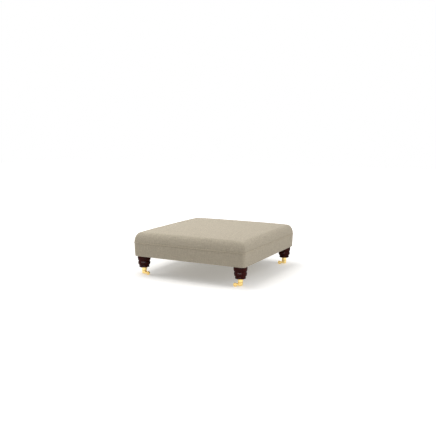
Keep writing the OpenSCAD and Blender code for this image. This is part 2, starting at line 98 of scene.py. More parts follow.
class Corner(Enum):
    """The four corners of the stool: side along X, side along Y, and the way the castor trails."""

    FRONT_LEFT = ("front_left", -1, -1, -7.0)
    FRONT_RIGHT = ("front_right", 1, -1, 207.0)
    BACK_LEFT = ("back_left", -1, 1, 196.0)
    BACK_RIGHT = ("back_right", 1, 1, 207.0)

    @property
    def title(self) -> str:
        """The corner's name as the frame's nodes and bodies use it."""
        return self.value[0]

    @property
    def sides(self) -> Array:
        """Which side of X and of Y the corner is on, as -1 or 1."""
        return np.array(self.value[1:3], float)

    @property
    def heading(self) -> float:
        """Direction from the swivel's axis to the wheel, in radians from +X."""
        return math.radians(self.value[3])


# Curves and surfaces


def joined(*parts: Array | float) -> Array:
    """Puts coordinates together as points, each spread over the rows and columns of the others."""
    return np.stack(np.broadcast_arrays(*parts), -1)


def arc(r: float, z: float, rr: float, rz: float, start: float, end: float, count: int) -> Array:
    """Points of an elliptical arc in a turning's half plane.

    Each point is the centre plus the half axes times the cosine and sine of its angle.

    Args:
        r, z: centre.
        rr, rz: half axes.
        start, end: first and last angle in degrees.
        count: number of steps.

    Returns:
        count + 1 points as radius and height.
    """
    a = np.radians(np.linspace(start, end, count + 1))
    return joined(r + rr * np.cos(a), z + rz * np.sin(a))


def eased(points: Array, radius: float, closed: bool = False, steps: int = 3) -> Array:
    """Rounds the corners of a polyline.

    Each corner becomes a quadratic curve between the points that lie the radius, or 0.4 of the edge, away
    from it on its two edges; the corner is that curve's control point.

    Args:
        points: the polyline's points.
        radius: distance from a corner at which its rounding starts.
        closed: whether the last point joins the first.
        steps: steps of each rounding.

    Returns:
        The points of the rounded polyline.
    """
    before, after = np.roll(points, 1, 0), np.roll(points, -1, 0)
    length_in = np.linalg.norm(before - points, axis=1, keepdims=True)
    length_out = np.linalg.norm(after - points, axis=1, keepdims=True)
    a = points + (before - points) * np.minimum(radius / length_in, 0.4)
    b = points + (after - points) * np.minimum(radius / length_out, 0.4)
    t = np.linspace(0, 1, steps + 1)[None, :, None]
    curve = (1 - t) ** 2 * a[:, None] + 2 * t * (1 - t) * points[:, None] + t**2 * b[:, None]
    if closed:
        return curve.reshape(-1, points.shape[1])
    return np.concatenate([points[:1], curve[1:-1].reshape(-1, points.shape[1]), points[-1:]])


def smooth_step(x: Array, low: float, high: float) -> Array:
    """Rises from 0 at low to 1 at high along the cubic 3t^2 - 2t^3."""
    t = np.clip((x - low) / (high - low), 0, 1)
    return t * t * (3 - 2 * t)


def ripple(s: Array, pitch: float, seed: int, spread: float = 0.35) -> Array:
    """An uneven wave between 0 and 1 along a closed length.

    It is half a cosine wave whose phase wanders by a sum of three slow sines of seeded size and phase, and
    whose height varies the same way, so that it repeats exactly after the whole length.

    Args:
        s: share of the way round, from 0 to 1.
        pitch: waves in the whole length, rounded to a whole number.
        seed: seed of the wandering.
        spread: how far the phase wanders, in waves.

    Returns:
        The wave's height at each s.
    """
    draw = np.random.default_rng(seed)
    turns = 2 * math.pi * np.asarray(s)[..., None]
    slow = draw.integers(9, 97, 3), draw.uniform(0, 2 * math.pi, 3), draw.uniform(0.4, 1, 3)
    wander = (np.sin(turns * slow[0] + slow[1]) * slow[2]).sum(-1)
    height = 0.62 + 0.38 * np.sin(turns * (slow[0] // 2 + 7) + slow[1] * 2).mean(-1)
    return height * (0.5 + 0.5 * np.cos(turns[..., 0] * round(pitch) + 2 * math.pi * spread * wander))


class Shell:
    """Gathers grids of points into the mesh of one piece."""

    def __init__(self) -> None:
        """Starts an empty mesh."""
        self.points: list[Array] = []
        self.faces: list[list[int]] = []
        self.uvs: list[Array] = []
        self.wear: list[Array] = []
        self.count = 0

    def grid(
        self,
        points: Array,
        wrap_rows: bool = False,
        wrap_cols: bool = True,
        poles: tuple[Array | None, Array | None] = (None, None),
        uv: Array | None = None,
        wear: Array | float = 0.0,
    ) -> None:
        """Adds a surface given by a grid of points.

        Rows go up and columns anticlockwise, seen from the side that the faces point to.

        Args:
            points: the grid, rows by columns by 3.
            wrap_rows: whether the last row joins the first.
            wrap_cols: whether the last column joins the first.
            poles: points that close the first and the last row with a fan.
            uv: map coordinates with one more row or column where the grid wraps.
            wear: how much each point stands out, from 0 to 1.
        """
        rows, cols = points.shape[:2]
        r = np.arange(rows - (not wrap_rows))[:, None]
        c = np.arange(cols - (not wrap_cols))[None, :]
        r, c = np.broadcast_arrays(r, c)
        up, on = (r + 1) % rows, (c + 1) % cols
        quads = joined(r * cols + c, r * cols + on, up * cols + on, up * cols + c).reshape(-1, 4)
        self.faces += (quads + self.count).tolist()
        if uv is None:
            uv = np.zeros((rows + 1, cols + 1, 2))
        corners = np.stack([uv[r, c], uv[r, c + 1], uv[r + 1, c + 1], uv[r + 1, c]], -2)
        self.uvs.append(corners.reshape(-1, 2))
        self.points.append(points.reshape(-1, 3))
        self.wear.append(np.broadcast_to(wear, (rows, cols)).ravel())
        top = self.count + rows * cols
        for pole, row, turn in ((poles[0], 0, 1), (poles[1], rows - 1, 0)):
            if pole is None:
                continue
            first = self.count + row * cols + np.arange(cols)
            second = np.roll(first, -1)
            pair = (second, first) if turn else (first, second)
            self.faces += joined(*pair, top).tolist()
            ring = uv[row, np.arange(cols)], uv[row, np.arange(cols) + 1]
            ring = ring[::-1] if turn else ring
            self.uvs.append(np.stack([*ring, (ring[0] + ring[1]) / 2], 1).reshape(-1, 2))
            self.points.append(np.asarray(pole, float).reshape(1, 3))
            self.wear.append(np.zeros(1))
            top += 1
        self.count = top

    def build(self, name: str, material: bpy.types.Material, sharp: float = 40.0) -> bpy.types.Object:
        """Makes the object: doubles merged, faces smooth apart from edges sharper than an angle.

        Args:
            name: the piece's name.
            material: its finish.
            sharp: the angle in degrees.

        Returns:
            The new object.
        """
        mesh = bpy.data.meshes.new(name)
        mesh.from_pydata(np.concatenate(self.points).tolist(), [], self.faces)
        layer = mesh.uv_layers.new(name="cloth")
        layer.data.foreach_set("uv", np.concatenate(self.uvs).ravel())
        worn = mesh.attributes.new("wear", "FLOAT", "POINT")
        worn.data.foreach_set("value", np.concatenate(self.wear))
        merged = bmesh.new()
        merged.from_mesh(mesh)
        bmesh.ops.remove_doubles(merged, verts=merged.verts, dist=MERGE_DISTANCE)
        merged.to_mesh(mesh)
        merged.free()
        mesh.polygons.foreach_set("use_smooth", np.ones(len(mesh.polygons), bool))
        mesh.set_sharp_from_angle(angle=math.radians(sharp))
        mesh.materials.append(material)
        piece = bpy.data.objects.new(name, mesh)
        bpy.context.scene.collection.objects.link(piece)
        return piece


def vertex_rows(mesh: bpy.types.Mesh, kind: str = "co") -> Array:
    """Reads a mesh's vertices as rows of three numbers.

    Args:
        mesh: the mesh.
        kind: co for places, or normal.

    Returns:
        One row for each vertex.
    """
    values = np.empty(len(mesh.vertices) * 3)
    mesh.vertices.foreach_get(kind, values)
    return values.reshape(-1, 3)


def move_to(mesh: bpy.types.Mesh, places: Array) -> None:
    """Puts a mesh's vertices at new places."""
    mesh.vertices.foreach_set("co", places.ravel())
    mesh.update()


def add_finer(piece: bpy.types.Object) -> bpy.types.Modifier:
    """Gives a piece one live level of smooth subdivision.

    Args:
        piece: the piece.

    Returns:
        The modifier.
    """
    finer = piece.modifiers.new("finer", "SUBSURF")
    finer.levels = finer.render_levels = 1
    return finer


def make_finer(piece: bpy.types.Object) -> None:
    """Subdivides a piece once, as a smooth surface, and keeps the result as its mesh.

    Args:
        piece: the piece.
    """
    finer = add_finer(piece)
    seen = piece.evaluated_get(bpy.context.evaluated_depsgraph_get())
    mesh = bpy.data.meshes.new_from_object(seen)
    piece.modifiers.remove(finer)
    old, piece.data = piece.data, mesh
    name = old.name
    bpy.data.meshes.remove(old)
    mesh.name = name


def fit(piece: bpy.types.Object, body: str, slot: Slot, *nodes: str) -> bpy.types.Object:
    """Sets a piece on its body, lets it stand for CAD nodes, and reports it.

    Args:
        piece: the piece.
        body: the body it moves with.
        slot: the record's material slot that it belongs to; not used.
        nodes: the nodes it stands for.

    Returns:
        The piece.
    """
    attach(piece, body)
    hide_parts(*nodes)
    LOG.info("%s: %d faces on %s", piece.name, len(piece.data.polygons), body)
    return piece


@dataclass
class Place:
    """A local frame: an origin and three axes at right angles."""

    origin: Array
    along: Array
    side: Array

    @property
    def axis(self) -> Array:
        """The third axis, which a turning spins about."""
        return np.cross(self.along, self.side)

    def put(self, local: Array) -> Array:
        """Turns local points into points of the model: the origin plus each coordinate times its axis."""
        return self.origin + local @ np.stack([self.along, self.side, self.axis])


UPRIGHT = Place(np.zeros(3), np.array([1.0, 0, 0]), np.array([0, 1.0, 0]))


def on_leg_axis(corner: Corner, z: float = 0.0) -> Place:
    """The upright frame on a leg's axis, at a height over the floor."""
    return Place(np.array([*corner.sides * LEG_AT, z]), UPRIGHT.along, UPRIGHT.side)


def spin(shell: Shell, profile: Array, place: Place, segments: int = 64, closed: bool = False) -> None:
    """Adds a turned surface: each profile point is carried round the axis at its own radius and height.

    How much a point stands out is the turn of the profile at it: 2.5 times the sine of the angle between
    its two edges, kept between 0 and 1.

    Args:
        shell: the mesh it is added to.
        profile: radius and height, going up the outside.
        place: the frame whose third axis is the turning's axis.
        segments: steps round.
        closed: whether the profile is a closed loop; otherwise its ends lie on the axis.
    """
    ends = (None, None)
    if not closed:
        ends = tuple(place.put(np.array([0, 0, z])) for z in (profile[0, 1], profile[-1, 1]))
        profile = profile[1:-1]
    a = 2 * math.pi * np.arange(segments) / segments
    r, z = profile[:, :1], profile[:, 1:]
    points = joined(r * np.cos(a), r * np.sin(a), z)
    step_in, step_out = profile - np.roll(profile, 1, 0), np.roll(profile, -1, 0) - profile
    cross = step_in[:, 0] * step_out[:, 1] - step_in[:, 1] * step_out[:, 0]
    size = np.linalg.norm(step_in, axis=1) * np.linalg.norm(step_out, axis=1)
    wear = np.clip(2.5 * cross / np.maximum(size, TINY), 0, 1)
    if not closed:
        wear[[0, -1]] = 0
    shell.grid(place.put(points), wrap_rows=closed, poles=ends, wear=wear[:, None])


def plate(shell: Shell, outline: Array, low: float, high: float, edge: float, place: Place) -> None:
    """Adds a flat plate with softened edges.

    Over an angle from -90 degrees to 0, the outline is pulled in along its own normals by the edge's
    radius times one minus the cosine, and lies the radius times one plus the sine from the face.

    Args:
        shell: the mesh it is added to.
        outline: closed outline, anticlockwise about the frame's third axis.
        low, high: heights of the two faces along the third axis.
        edge: radius of the softened edges.
        place: the plate's frame.
    """
    tangent = np.roll(outline, -1, 0) - np.roll(outline, 1, 0)
    normal = joined(tangent[:, 1], -tangent[:, 0]) / np.linalg.norm(tangent, axis=1, keepdims=True)
    a = np.radians(np.linspace(-90, 0, 4))
    rise = np.concatenate([low + edge + edge * np.sin(a), high - edge - edge * np.sin(a[::-1])])
    pull = edge * (1 - np.cos(np.concatenate([a, a[::-1]])))
    flat = outline[None] - pull[:, None, None] * normal[None]
    wear = np.ones(len(rise))
    wear[[0, -1]] = 0.2
    shell.grid(place.put(joined(flat[..., 0], flat[..., 1], rise[:, None])), wear=wear[:, None])
    cols = len(outline)
    start = shell.count - len(rise) * cols
    shell.faces.append((start + np.arange(cols)[::-1]).tolist())
    shell.faces.append((start + (len(rise) - 1) * cols + np.arange(cols)).tolist())
    shell.uvs.append(np.zeros((2 * cols, 2)))


# Shader nodes


class Tree:
    """A short way to add and join shader nodes."""

    def __init__(self, tree: bpy.types.NodeTree) -> None:
        """Works on one node tree."""
        self.tree = tree

    def add(self, kind: str, inputs: dict | None = None, **settings: object) -> bpy.types.Node:
        """Adds a node.

        Args:
            kind: the node's type.
            inputs: values or outputs for its inputs, by name or number.
            settings: the node's own options.

        Returns:
            The new node.
        """
        node = self.tree.nodes.new(kind)
        for key, value in settings.items():
            setattr(node, key, value)
        for key, value in (inputs or {}).items():
            self.feed(node.inputs[key], value)
        return node

    def feed(self, socket: bpy.types.NodeSocket, value: object) -> None:
        """Links a socket to another node's output, or sets its value.

        Args:
            socket: the input.
            value: an output, a number, a vector, or a colour of three parts.
        """
        if isinstance(value, bpy.types.NodeSocket):
            self.tree.links.new(value, socket)
        elif isinstance(value, tuple) and len(value) == 3 and socket.type == "RGBA":
            socket.default_value = (*value, 1.0)
        else:
            socket.default_value = value

    def math(self, operation: str, *values: object, clamp: bool = False) -> bpy.types.NodeSocket:
        """A Math node over one to three values."""
        settings = {"operation": operation, "use_clamp": clamp}
        return self.add("ShaderNodeMath", dict(enumerate(values)), **settings).outputs[0]

    def blend(self, factor: object, a: object, b: object, mode: str = "MIX") -> bpy.types.NodeSocket:
        """A colour mix.

        Args:
            factor: share of the second colour.
            a, b: the colours.
            mode: the way they are mixed.

        Returns:
            The mixed colour.
        """
        node = self.add("ShaderNodeMix", data_type="RGBA", blend_type=mode)
        for number, value in ((0, factor), (6, a), (7, b)):
            self.feed(node.inputs[number], value)
        return node.outputs[2]

    def noise(
        self, vector: object, scale: object, detail: float = 2.0, rough: float = 0.5
    ) -> bpy.types.NodeSocket:
        """A noise value at a vector times a scale."""
        inputs = {"Vector": vector, "Scale": scale, "Detail": detail, "Roughness": rough}
        return self.add("ShaderNodeTexNoise", inputs).outputs["Fac"]

    def stretch(self, vector: object, scale: Point, turn: float = 0.0) -> bpy.types.NodeSocket:
        """A vector turned about Z by an angle in degrees, then stretched along each axis."""
        inputs = {"Vector": vector, "Scale": scale, "Rotation": (0, 0, math.radians(turn))}
        return self.add("ShaderNodeMapping", inputs).outputs[0]

    def levels(
        self, value: object, low: float, high: float, to_low: float = 0.0, to_high: float = 1.0
    ) -> bpy.types.NodeSocket:
        """Maps a range of values onto another, clamped."""
        inputs = {"Value": value, "From Min": low, "From Max": high, "To Min": to_low, "To Max": to_high}
        return self.add("ShaderNodeMapRange", inputs).outputs[0]

    def bump(self, shader: bpy.types.Node, height: object, strength: float, depth: float) -> None:
        """Raises a shader's surface by a height.

        Args:
            shader: the shader.
            height: the height, from 0 to 1.
            strength: how strongly it shades.
            depth: the height's size in metres.
        """
        node = self.add("ShaderNodeBump", {"Strength": strength, "Distance": depth, "Height": height})
        self.feed(shader.inputs["Normal"], node.outputs[0])

    def group(self, tree: bpy.types.NodeTree, inputs: dict) -> bpy.types.Node:
        """Places a shared node group.

        Args:
            tree: the group.
            inputs: values or outputs for its inputs, by name.

        Returns:
            The new node.
        """
        node = self.add("ShaderNodeGroup")
        node.node_tree = tree
        for key, value in inputs.items():
            self.feed(node.inputs[key], value)
        return node


def new_group(
    name: str, inputs: dict[str, float | None], outputs: tuple[str, ...]
) -> tuple[bpy.types.NodeTree, Tree, bpy.types.Node, bpy.types.Node]:
    """Starts a shared node group.

    Args:
        name: its name.
        inputs: names to starting values; None makes a vector socket.
        outputs: names of its values.

    Returns:
        The group, its builder, its input node and its output node.
    """
    tree = bpy.data.node_groups.new(name, "ShaderNodeTree")
    for key, value in inputs.items():
        kind = "NodeSocketVector" if value is None else "NodeSocketFloat"
        socket = tree.interface.new_socket(key, in_out="INPUT", socket_type=kind)
        if value is not None:
            socket.default_value = value
    for key in outputs:
        tree.interface.new_socket(key, in_out="OUTPUT", socket_type="NodeSocketFloat")
    nodes = Tree(tree)
    return tree, nodes, nodes.add("NodeGroupInput"), nodes.add("NodeGroupOutput")


class Effects:
    """Effects that more than one finish uses, each built once as a node group."""

    def __init__(self) -> None:
        """Builds the groups."""
        self.weave = self._weave()
        self.grain = self._grain()
        self.rub = self._rub()

    def _weave(self) -> bpy.types.NodeTree:
        """A plain weave.

        Yarns of both ways cross in a chequer of cells as wide as the pitch. In each cell the yarn on top is
        a ridge, the power 0.7 of the sine across it, times 0.5 to 1 along it. The tone adds two long
        stretched noises, one along each way, for yarns that run thick and thin, and a soft mottle.

        Returns:
            The group.
        """
        inputs = {"Vector": None, "Pitch": 0.0014, "Slub": 1.0}
        tree, nodes, given, out = new_group("plain_weave", inputs, ("Height", "Warp", "Tone"))
        vector, pitch = given.outputs["Vector"], given.outputs["Pitch"]
        wobble = nodes.noise(vector, 45.0, 1.0)
        split = nodes.add("ShaderNodeSeparateXYZ", {0: vector}).outputs
        drift = nodes.math("MULTIPLY", nodes.math("SUBTRACT", wobble, 0.5), pitch)
        cells = [nodes.math("DIVIDE", nodes.math("ADD", split[k], drift), pitch) for k in (0, 1)]
        waves = [nodes.math("SINE", nodes.math("MULTIPLY", cell, math.pi)) for cell in cells]
        ridges = [nodes.math("ABSOLUTE", wave) for wave in waves]
        floors = [nodes.math("FLOOR", cell) for cell in cells]
        warp = nodes.math("PINGPONG", nodes.math("ADD", *floors), 1.0)
        tops = []
        for over, under in (ridges, ridges[::-1]):
            along = nodes.math("MULTIPLY_ADD", under, 0.5, 0.5)
            tops.append(nodes.math("MULTIPLY", nodes.math("POWER", over, 0.7), along))
        height = nodes.add("ShaderNodeMix", {0: warp, 2: tops[1], 3: tops[0]}).outputs[0]
        runs = [nodes.noise(nodes.stretch(vector, scale), 1.0, 2.0) for scale in ((620, 14, 1), (14, 620, 1))]
        slub = nodes.math("SUBTRACT", nodes.math("ADD", *runs), 1.0)
        mottle = nodes.math("SUBTRACT", nodes.noise(vector, 75.0, 4.0, 0.65), 0.5)
        ground = nodes.math("MULTIPLY_ADD", mottle, 0.9, 0.5)
        nodes.feed(out.inputs["Height"], nodes.math("MULTIPLY_ADD", slub, 0.3, height))
        nodes.feed(out.inputs["Warp"], warp)
        nodes.feed(out.inputs["Tone"], nodes.math("MULTIPLY_ADD", slub, given.outputs["Slub"], ground))
        return tree

    def _grain(self) -> bpy.types.NodeTree:
        """Wood grain that runs along Z: noise stretched along it for the figure, and finer for the pores.

        Returns:
            The group.
        """
        inputs = {"Vector": None, "Figure": 30.0}
        tree, nodes, given, out = new_group("wood_grain", inputs, ("Streak", "Pores"))
        vector = given.outputs["Vector"]
        sway = nodes.noise(nodes.stretch(vector, (6, 6, 3)), 1.0, 1.0)
        aside = nodes.add("ShaderNodeCombineXYZ", {0: nodes.math("MULTIPLY", sway, 0.05)}).outputs[0]
        long_way = nodes.stretch(vector, (1, 1, 0.12))
        bent = nodes.add("ShaderNodeVectorMath", {0: long_way, 1: aside}, operation="ADD").outputs[0]
        figure = nodes.noise(bent, given.outputs["Figure"], 5.0, 0.6)
        pores = nodes.noise(nodes.stretch(vector, (1, 1, 0.04)), 1400.0, 1.0)
        nodes.feed(out.inputs["Streak"], nodes.levels(figure, 0.3, 0.7))
        nodes.feed(out.inputs["Pores"], nodes.levels(pores, 0.62, 0.75))
        return tree

    def _rub(self) -> bpy.types.NodeTree:
        """Where a surface has been rubbed: how far it stands out, broken up by noise.

        Returns:
            The group.
        """
        inputs = {"Vector": None, "Wear": 0.0, "Amount": 0.5}
        tree, nodes, given, out = new_group("rubbed_edges", inputs, ("Mask",))
        patch = nodes.levels(nodes.noise(given.outputs["Vector"], 160.0, 3.0), 0.35, 0.7)
        worn = nodes.math("MULTIPLY", given.outputs["Wear"], given.outputs["Amount"])
        nodes.feed(out.inputs["Mask"], nodes.math("MULTIPLY", patch, worn, clamp=True))
        return tree


def new_material(name: str) -> tuple[bpy.types.Material, Tree, bpy.types.Node]:
    """Starts a material.

    Args:
        name: its name.

    Returns:
        The material, its builder and its Principled shader.
    """
    material = bpy.data.materials.new(name)
    material.use_nodes = True
    nodes = Tree(material.node_tree)
    return material, nodes, material.node_tree.nodes["Principled BSDF"]


@dataclass(frozen=True)
class ClothFinish:
    """A woven or felted cloth read from the piece's own cloth map or from Object coordinates."""

    name: str
    light: Colour
    dark: Colour
    pitch: float = 0.0014
    slub: float = 1.1
    bump: float = 0.5
    depth: float = 0.0004
    turn: float = 0.0
    mapped: bool = True
    cloud_scale: float = 7.0
    cloud: float = 0.16
    shade: Pair = (0.78, 1.04)
    warp_tone: Pair = (0.965, 1.035)
    rough: Pair = (0.98, 0.86)
    sheen: float = 0.12
    sheen_rough: float = 0.5
    gloss: float = 0.2

    def build(self, effects: Effects) -> bpy.types.Material:
        """Makes the material: yarns shaded by their height, in a tone that drifts in clouds.

        Args:
            effects: the shared node groups.

        Returns:
            The material.
        """
        material, nodes, shader = new_material(self.name)
        where = nodes.add("ShaderNodeTexCoord").outputs["UV" if self.mapped else "Object"]
        vector = nodes.stretch(where, (1, 1, 1), self.turn)
        weave = nodes.group(effects.weave, {"Vector": vector, "Pitch": self.pitch, "Slub": self.slub}).outputs
        drift = nodes.math("MULTIPLY_ADD", nodes.noise(vector, self.cloud_scale), self.cloud, -self.cloud / 2)
        tone = nodes.math("ADD", weave["Tone"], drift)
        colour = nodes.blend(nodes.levels(tone, 0.15, 0.85), self.dark, self.light)
        shade = nodes.levels(weave["Height"], 0.0, 0.75, *self.shade)
        yarn = nodes.math("MULTIPLY", shade, nodes.levels(weave["Warp"], 0, 1, *self.warp_tone))
        grey = nodes.add("ShaderNodeCombineColor", {0: yarn, 1: yarn, 2: yarn}).outputs[0]
        nodes.feed(shader.inputs["Base Color"], nodes.blend(1.0, colour, grey, "MULTIPLY"))
        nodes.feed(shader.inputs["Roughness"], nodes.levels(weave["Height"], 0, 1, *self.rough))
        shader.inputs["Sheen Weight"].default_value = self.sheen
        shader.inputs["Sheen Roughness"].default_value = self.sheen_rough
        shader.inputs["Specular IOR Level"].default_value = self.gloss
        nodes.bump(shader, weave["Height"], self.bump, self.depth)
        return material


@dataclass(frozen=True)
class WoodFinish:
    """A wood with its grain along Z, bare or varnished, a little rubbed where it stands out."""

    name: str
    light: Colour
    dark: Colour
    rubbed: Colour
    rough: Pair
    coat: float = 0.0
    coat_rough: float = 0.08
    gloss: float = 0.4
    figure: float = 30.0
    pore_dark: float = 0.6
    smear_scale: float = 26.0
    wear: float = 0.3
    bump: float = 0.12
    depth: float = 0.0002

    def build(self, effects: Effects) -> bpy.types.Material:
        """Makes the material: streaks and pores, rubbed edges, and a smear in the gloss.

        Args:
            effects: the shared node groups.

        Returns:
            The material.
        """
        material, nodes, shader = new_material(self.name)
        where = nodes.add("ShaderNodeTexCoord").outputs["Object"]
        grain = nodes.group(effects.grain, {"Vector": where, "Figure": self.figure}).outputs
        worn = nodes.add("ShaderNodeAttribute", attribute_name="wear").outputs["Fac"]
        rub = nodes.group(effects.rub, {"Vector": where, "Wear": worn, "Amount": self.wear}).outputs["Mask"]
        colour = nodes.blend(grain["Streak"], self.dark, self.light)
        colour = nodes.blend(nodes.math("MULTIPLY", grain["Pores"], self.pore_dark), colour, self.dark)
        nodes.feed(shader.inputs["Base Color"], nodes.blend(rub, colour, self.rubbed))
        smear = nodes.noise(where, self.smear_scale, 3.0)
        nodes.feed(shader.inputs["Roughness"], nodes.levels(smear, 0.3, 0.7, *self.rough))
        shader.inputs["Specular IOR Level"].default_value = self.gloss
        shader.inputs["Coat Weight"].default_value = self.coat
        shader.inputs["Coat Roughness"].default_value = self.coat_rough
        hollows = nodes.math("MULTIPLY", grain["Pores"], -1.0)
        nodes.bump(shader, nodes.math("MULTIPLY_ADD", grain["Streak"], 0.4, hollows), self.bump, self.depth)
        return material


@dataclass(frozen=True)
class MetalFinish:
    """A metal, bright where it is rubbed and duller elsewhere, with fine turning or brushing marks."""

    name: str
    bright: Colour
    dull: Colour
    rough: Pair
    wear: float = 1.0
    film_scale: float = 90.0
    film: float = 0.45
    marks: Point = (300, 300, 4000)
    mark_rough: float = 0.06
    bump: float = 0.04
    depth: float = 0.0001

    def build(self, effects: Effects) -> bpy.types.Material:
        """Makes the material: a thin dull film that is rubbed off where the surface stands out.

        Args:
            effects: the shared node groups.

        Returns:
            The material.
        """
        material, nodes, shader = new_material(self.name)
        where = nodes.add("ShaderNodeTexCoord").outputs["Object"]
        worn = nodes.add("ShaderNodeAttribute", attribute_name="wear").outputs["Fac"]
        rub = nodes.group(effects.rub, {"Vector": where, "Wear": worn, "Amount": self.wear}).outputs["Mask"]
        film = nodes.levels(nodes.noise(where, self.film_scale, 4.0, 0.6), 0.35, 0.75, 0.0, self.film)
        film = nodes.math("SUBTRACT", film, rub, clamp=True)
        nodes.feed(shader.inputs["Base Color"], nodes.blend(film, self.bright, self.dull))
        marks = nodes.noise(nodes.stretch(where, self.marks), 1.0)
        plain = nodes.levels(film, 0, 0.5, *self.rough)
        nodes.feed(shader.inputs["Roughness"], nodes.math("MULTIPLY_ADD", marks, self.mark_rough, plain))
        shader.inputs["Metallic"].default_value = 1.0
        nodes.bump(shader, marks, self.bump, self.depth)
        return material


@dataclass
class Finishes:
    """Every finish of the stool."""

    effects: Effects = field(default_factory=Effects)

    def __post_init__(self) -> None:
        """Builds the materials."""
        effects = self.effects
        self.linen = ClothFinish("oatmeal_linen", (0.68, 0.605, 0.475), (0.50, 0.435, 0.33)).build(effects)
        # Painted light: the cloth cut on the bias over the cord is painted a little lighter than the linen,
        # standing in for the light the cord catches
        self.bias = ClothFinish(
            "oatmeal_linen_on_the_bias", light=(0.73, 0.65, 0.51), dark=(0.54, 0.47, 0.355), turn=45.0
        ).build(effects)
        self.underside = ClothFinish(
            "black_dust_cloth", light=(0.03, 0.03, 0.032), dark=(0.014, 0.014, 0.016),
            pitch=0.0009, slub=0.3, bump=0.15,
        ).build(effects)
        self.jute = ClothFinish(
            "jute_webbing", light=(0.46, 0.31, 0.15), dark=(0.28, 0.18, 0.08),
            pitch=0.0024, slub=0.8, bump=0.6, depth=0.0005, mapped=False,
        ).build(effects)
        self.hessian = ClothFinish(
            "open_hessian", light=(0.44, 0.32, 0.17), dark=(0.22, 0.15, 0.07),
            pitch=0.0018, slub=0.9, bump=0.6, depth=0.0005, mapped=False,
        ).build(effects)
        self.mahogany = WoodFinish(
            "varnished_mahogany", light=(0.066, 0.0055, 0.0032), dark=(0.022, 0.0020, 0.0013),
            rubbed=(0.10, 0.016, 0.008), rough=(0.2, 0.34), coat=0.09, gloss=0.02, figure=42.0,
        ).build(effects)
        self.beech = WoodFinish(
            "planed_beech", light=(0.66, 0.46, 0.27), dark=(0.50, 0.32, 0.17),
            rubbed=(0.7, 0.52, 0.33), rough=(0.5, 0.68),
        ).build(effects)
        self.brass = MetalFinish(
            "polished_brass", bright=(1.0, 0.74, 0.29), dull=(0.92, 0.66, 0.24), rough=(0.15, 0.32)
        ).build(effects)
        self.pin_brass = MetalFinish(
            "turned_brass", bright=(0.90, 0.70, 0.36), dull=(0.62, 0.44, 0.19), rough=(0.22, 0.42)
        ).build(effects)
        self.steel = MetalFinish(
            "zinc_steel", bright=(0.60, 0.61, 0.63), dull=(0.38, 0.39, 0.40), rough=(0.28, 0.5)
        ).build(effects)

    def dress_frame(self, nodes: dict[str, bpy.types.Object]) -> None:
        """Gives the carried-over nodes of the frame and its fixings their finishes.

        Args:
            nodes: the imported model's nodes by name.
        """
        choices = {
            Slot.FRAME_WOOD: self.beech,
            Slot.STEEL: self.steel,
            Slot.PIN_BRASS: self.pin_brass,
            Slot.BRASS: self.brass,
            Slot.MAHOGANY: self.mahogany,
            Slot.WEBBING: self.jute,
            Slot.HESSIAN: self.hessian,
        }
        by_name = {slot.value: material for slot, material in choices.items()}
        for node in nodes.values():
            for holder in node.material_slots:
                base = holder.material.name.split(".")[0] if holder.material else ""
                if base in by_name:
                    holder.material = by_name[base]
        LOG.info("dressed %d carried-over nodes", len(nodes))


# Upholstery


@dataclass
class Plan:
    """The rounded rectangle that the body has from above, pulled in by an inset."""

    width: float = 0.960
    depth: float = 0.980
    corner: float = 0.030
    least_corner: float = 0.002
    side_points: int = 80
    crowding: float = 0.45

    @property
    def girth(self) -> float:
        """Length round the body, with its corners taken as square."""
        return 2 * (self.width + self.depth)

    def steps(self) -> Array:
        """Places along one side from -1 to 1, crowded towards its ends: a line mixed with a sine."""
        u = np.linspace(-1, 1, self.side_points + 1)
        return (1 - self.crowding) * u + self.crowding * np.sin(u * math.pi / 2)

    def side_curve(self, inset: float, places: Array, hard: float = 0.5) -> Array:
        """All four sides at given places.

        Within the corner radius of a side's end, the way along becomes an angle up to 45 degrees of the
        corner's arc; elsewhere the side is straight.

        Args:
            inset: how far the outline is pulled in.
            places: from -1 to 1 along each side.
            hard: how much the corners tighten with the inset.

        Returns:
            Points, 4 by the places by 2, anticlockwise from the front side's left end.
        """
        r = np.maximum(self.corner - hard * inset, self.least_corner)
        sides = []
        for along, out in ((self.width, self.depth), (self.depth, self.width)):
            half, reach = along / 2 - inset, out / 2 - inset
            a = places * half
            past = np.clip(np.abs(a) - (half - r), 0, None)
            turn = past / r * math.pi / 4
            way = np.where(past > 0, np.sign(a) * (half - r + r * np.sin(turn)), a)
            sides.append((way, reach - r + r * np.cos(turn)))
        (x, y), (v, u) = sides
        front, right = joined(x, -y), joined(u, v)
        return np.stack([front, right, -front, -right])

    def ring(self, inset: float, hard: float = 0.5) -> Array:
        """One closed outline of four times the side's steps."""
        sides = self.side_curve(inset, self.steps(), hard)
        return sides[:, :-1].reshape(-1, 2)

    def outward(self, inset: float, reach: float, hard: float = 0.5) -> Array:
        """The way out at each point of an outline, from the outline that lies a reach further in."""
        return (self.ring(inset, hard) - self.ring(inset + reach, hard)) / reach

    def way_round(self) -> Array:
        """Share of the way round the outline at each of its points.

        Returns:
            From 0 at the front side's left end, rising to less than 1.
        """
        ring = self.ring(0.0)
        length = np.linalg.norm(np.roll(ring, -1, 0) - ring, axis=1)
        return np.concatenate([[0], np.cumsum(length)[:-1]]) / length.sum()

    def side_way(self) -> Array:
        """Length along each side from its middle, for the cloth's map.

        Returns:
            Lengths, 4 by the side's steps.
        """
        sides = self.side_curve(0.0, self.steps())
        length = np.linalg.norm(np.diff(sides, axis=1), axis=2)
        way = np.concatenate([np.zeros((4, 1)), np.cumsum(length, 1)], 1)
        return way - way[:, -1:] / 2

    def cloth_map(self, share: Array, v: Array) -> Array:
        """Map coordinates of a band that goes all the way round: length round it, and across it."""
        return joined(np.append(share, 1.0)[None] * self.girth, v[:, None])


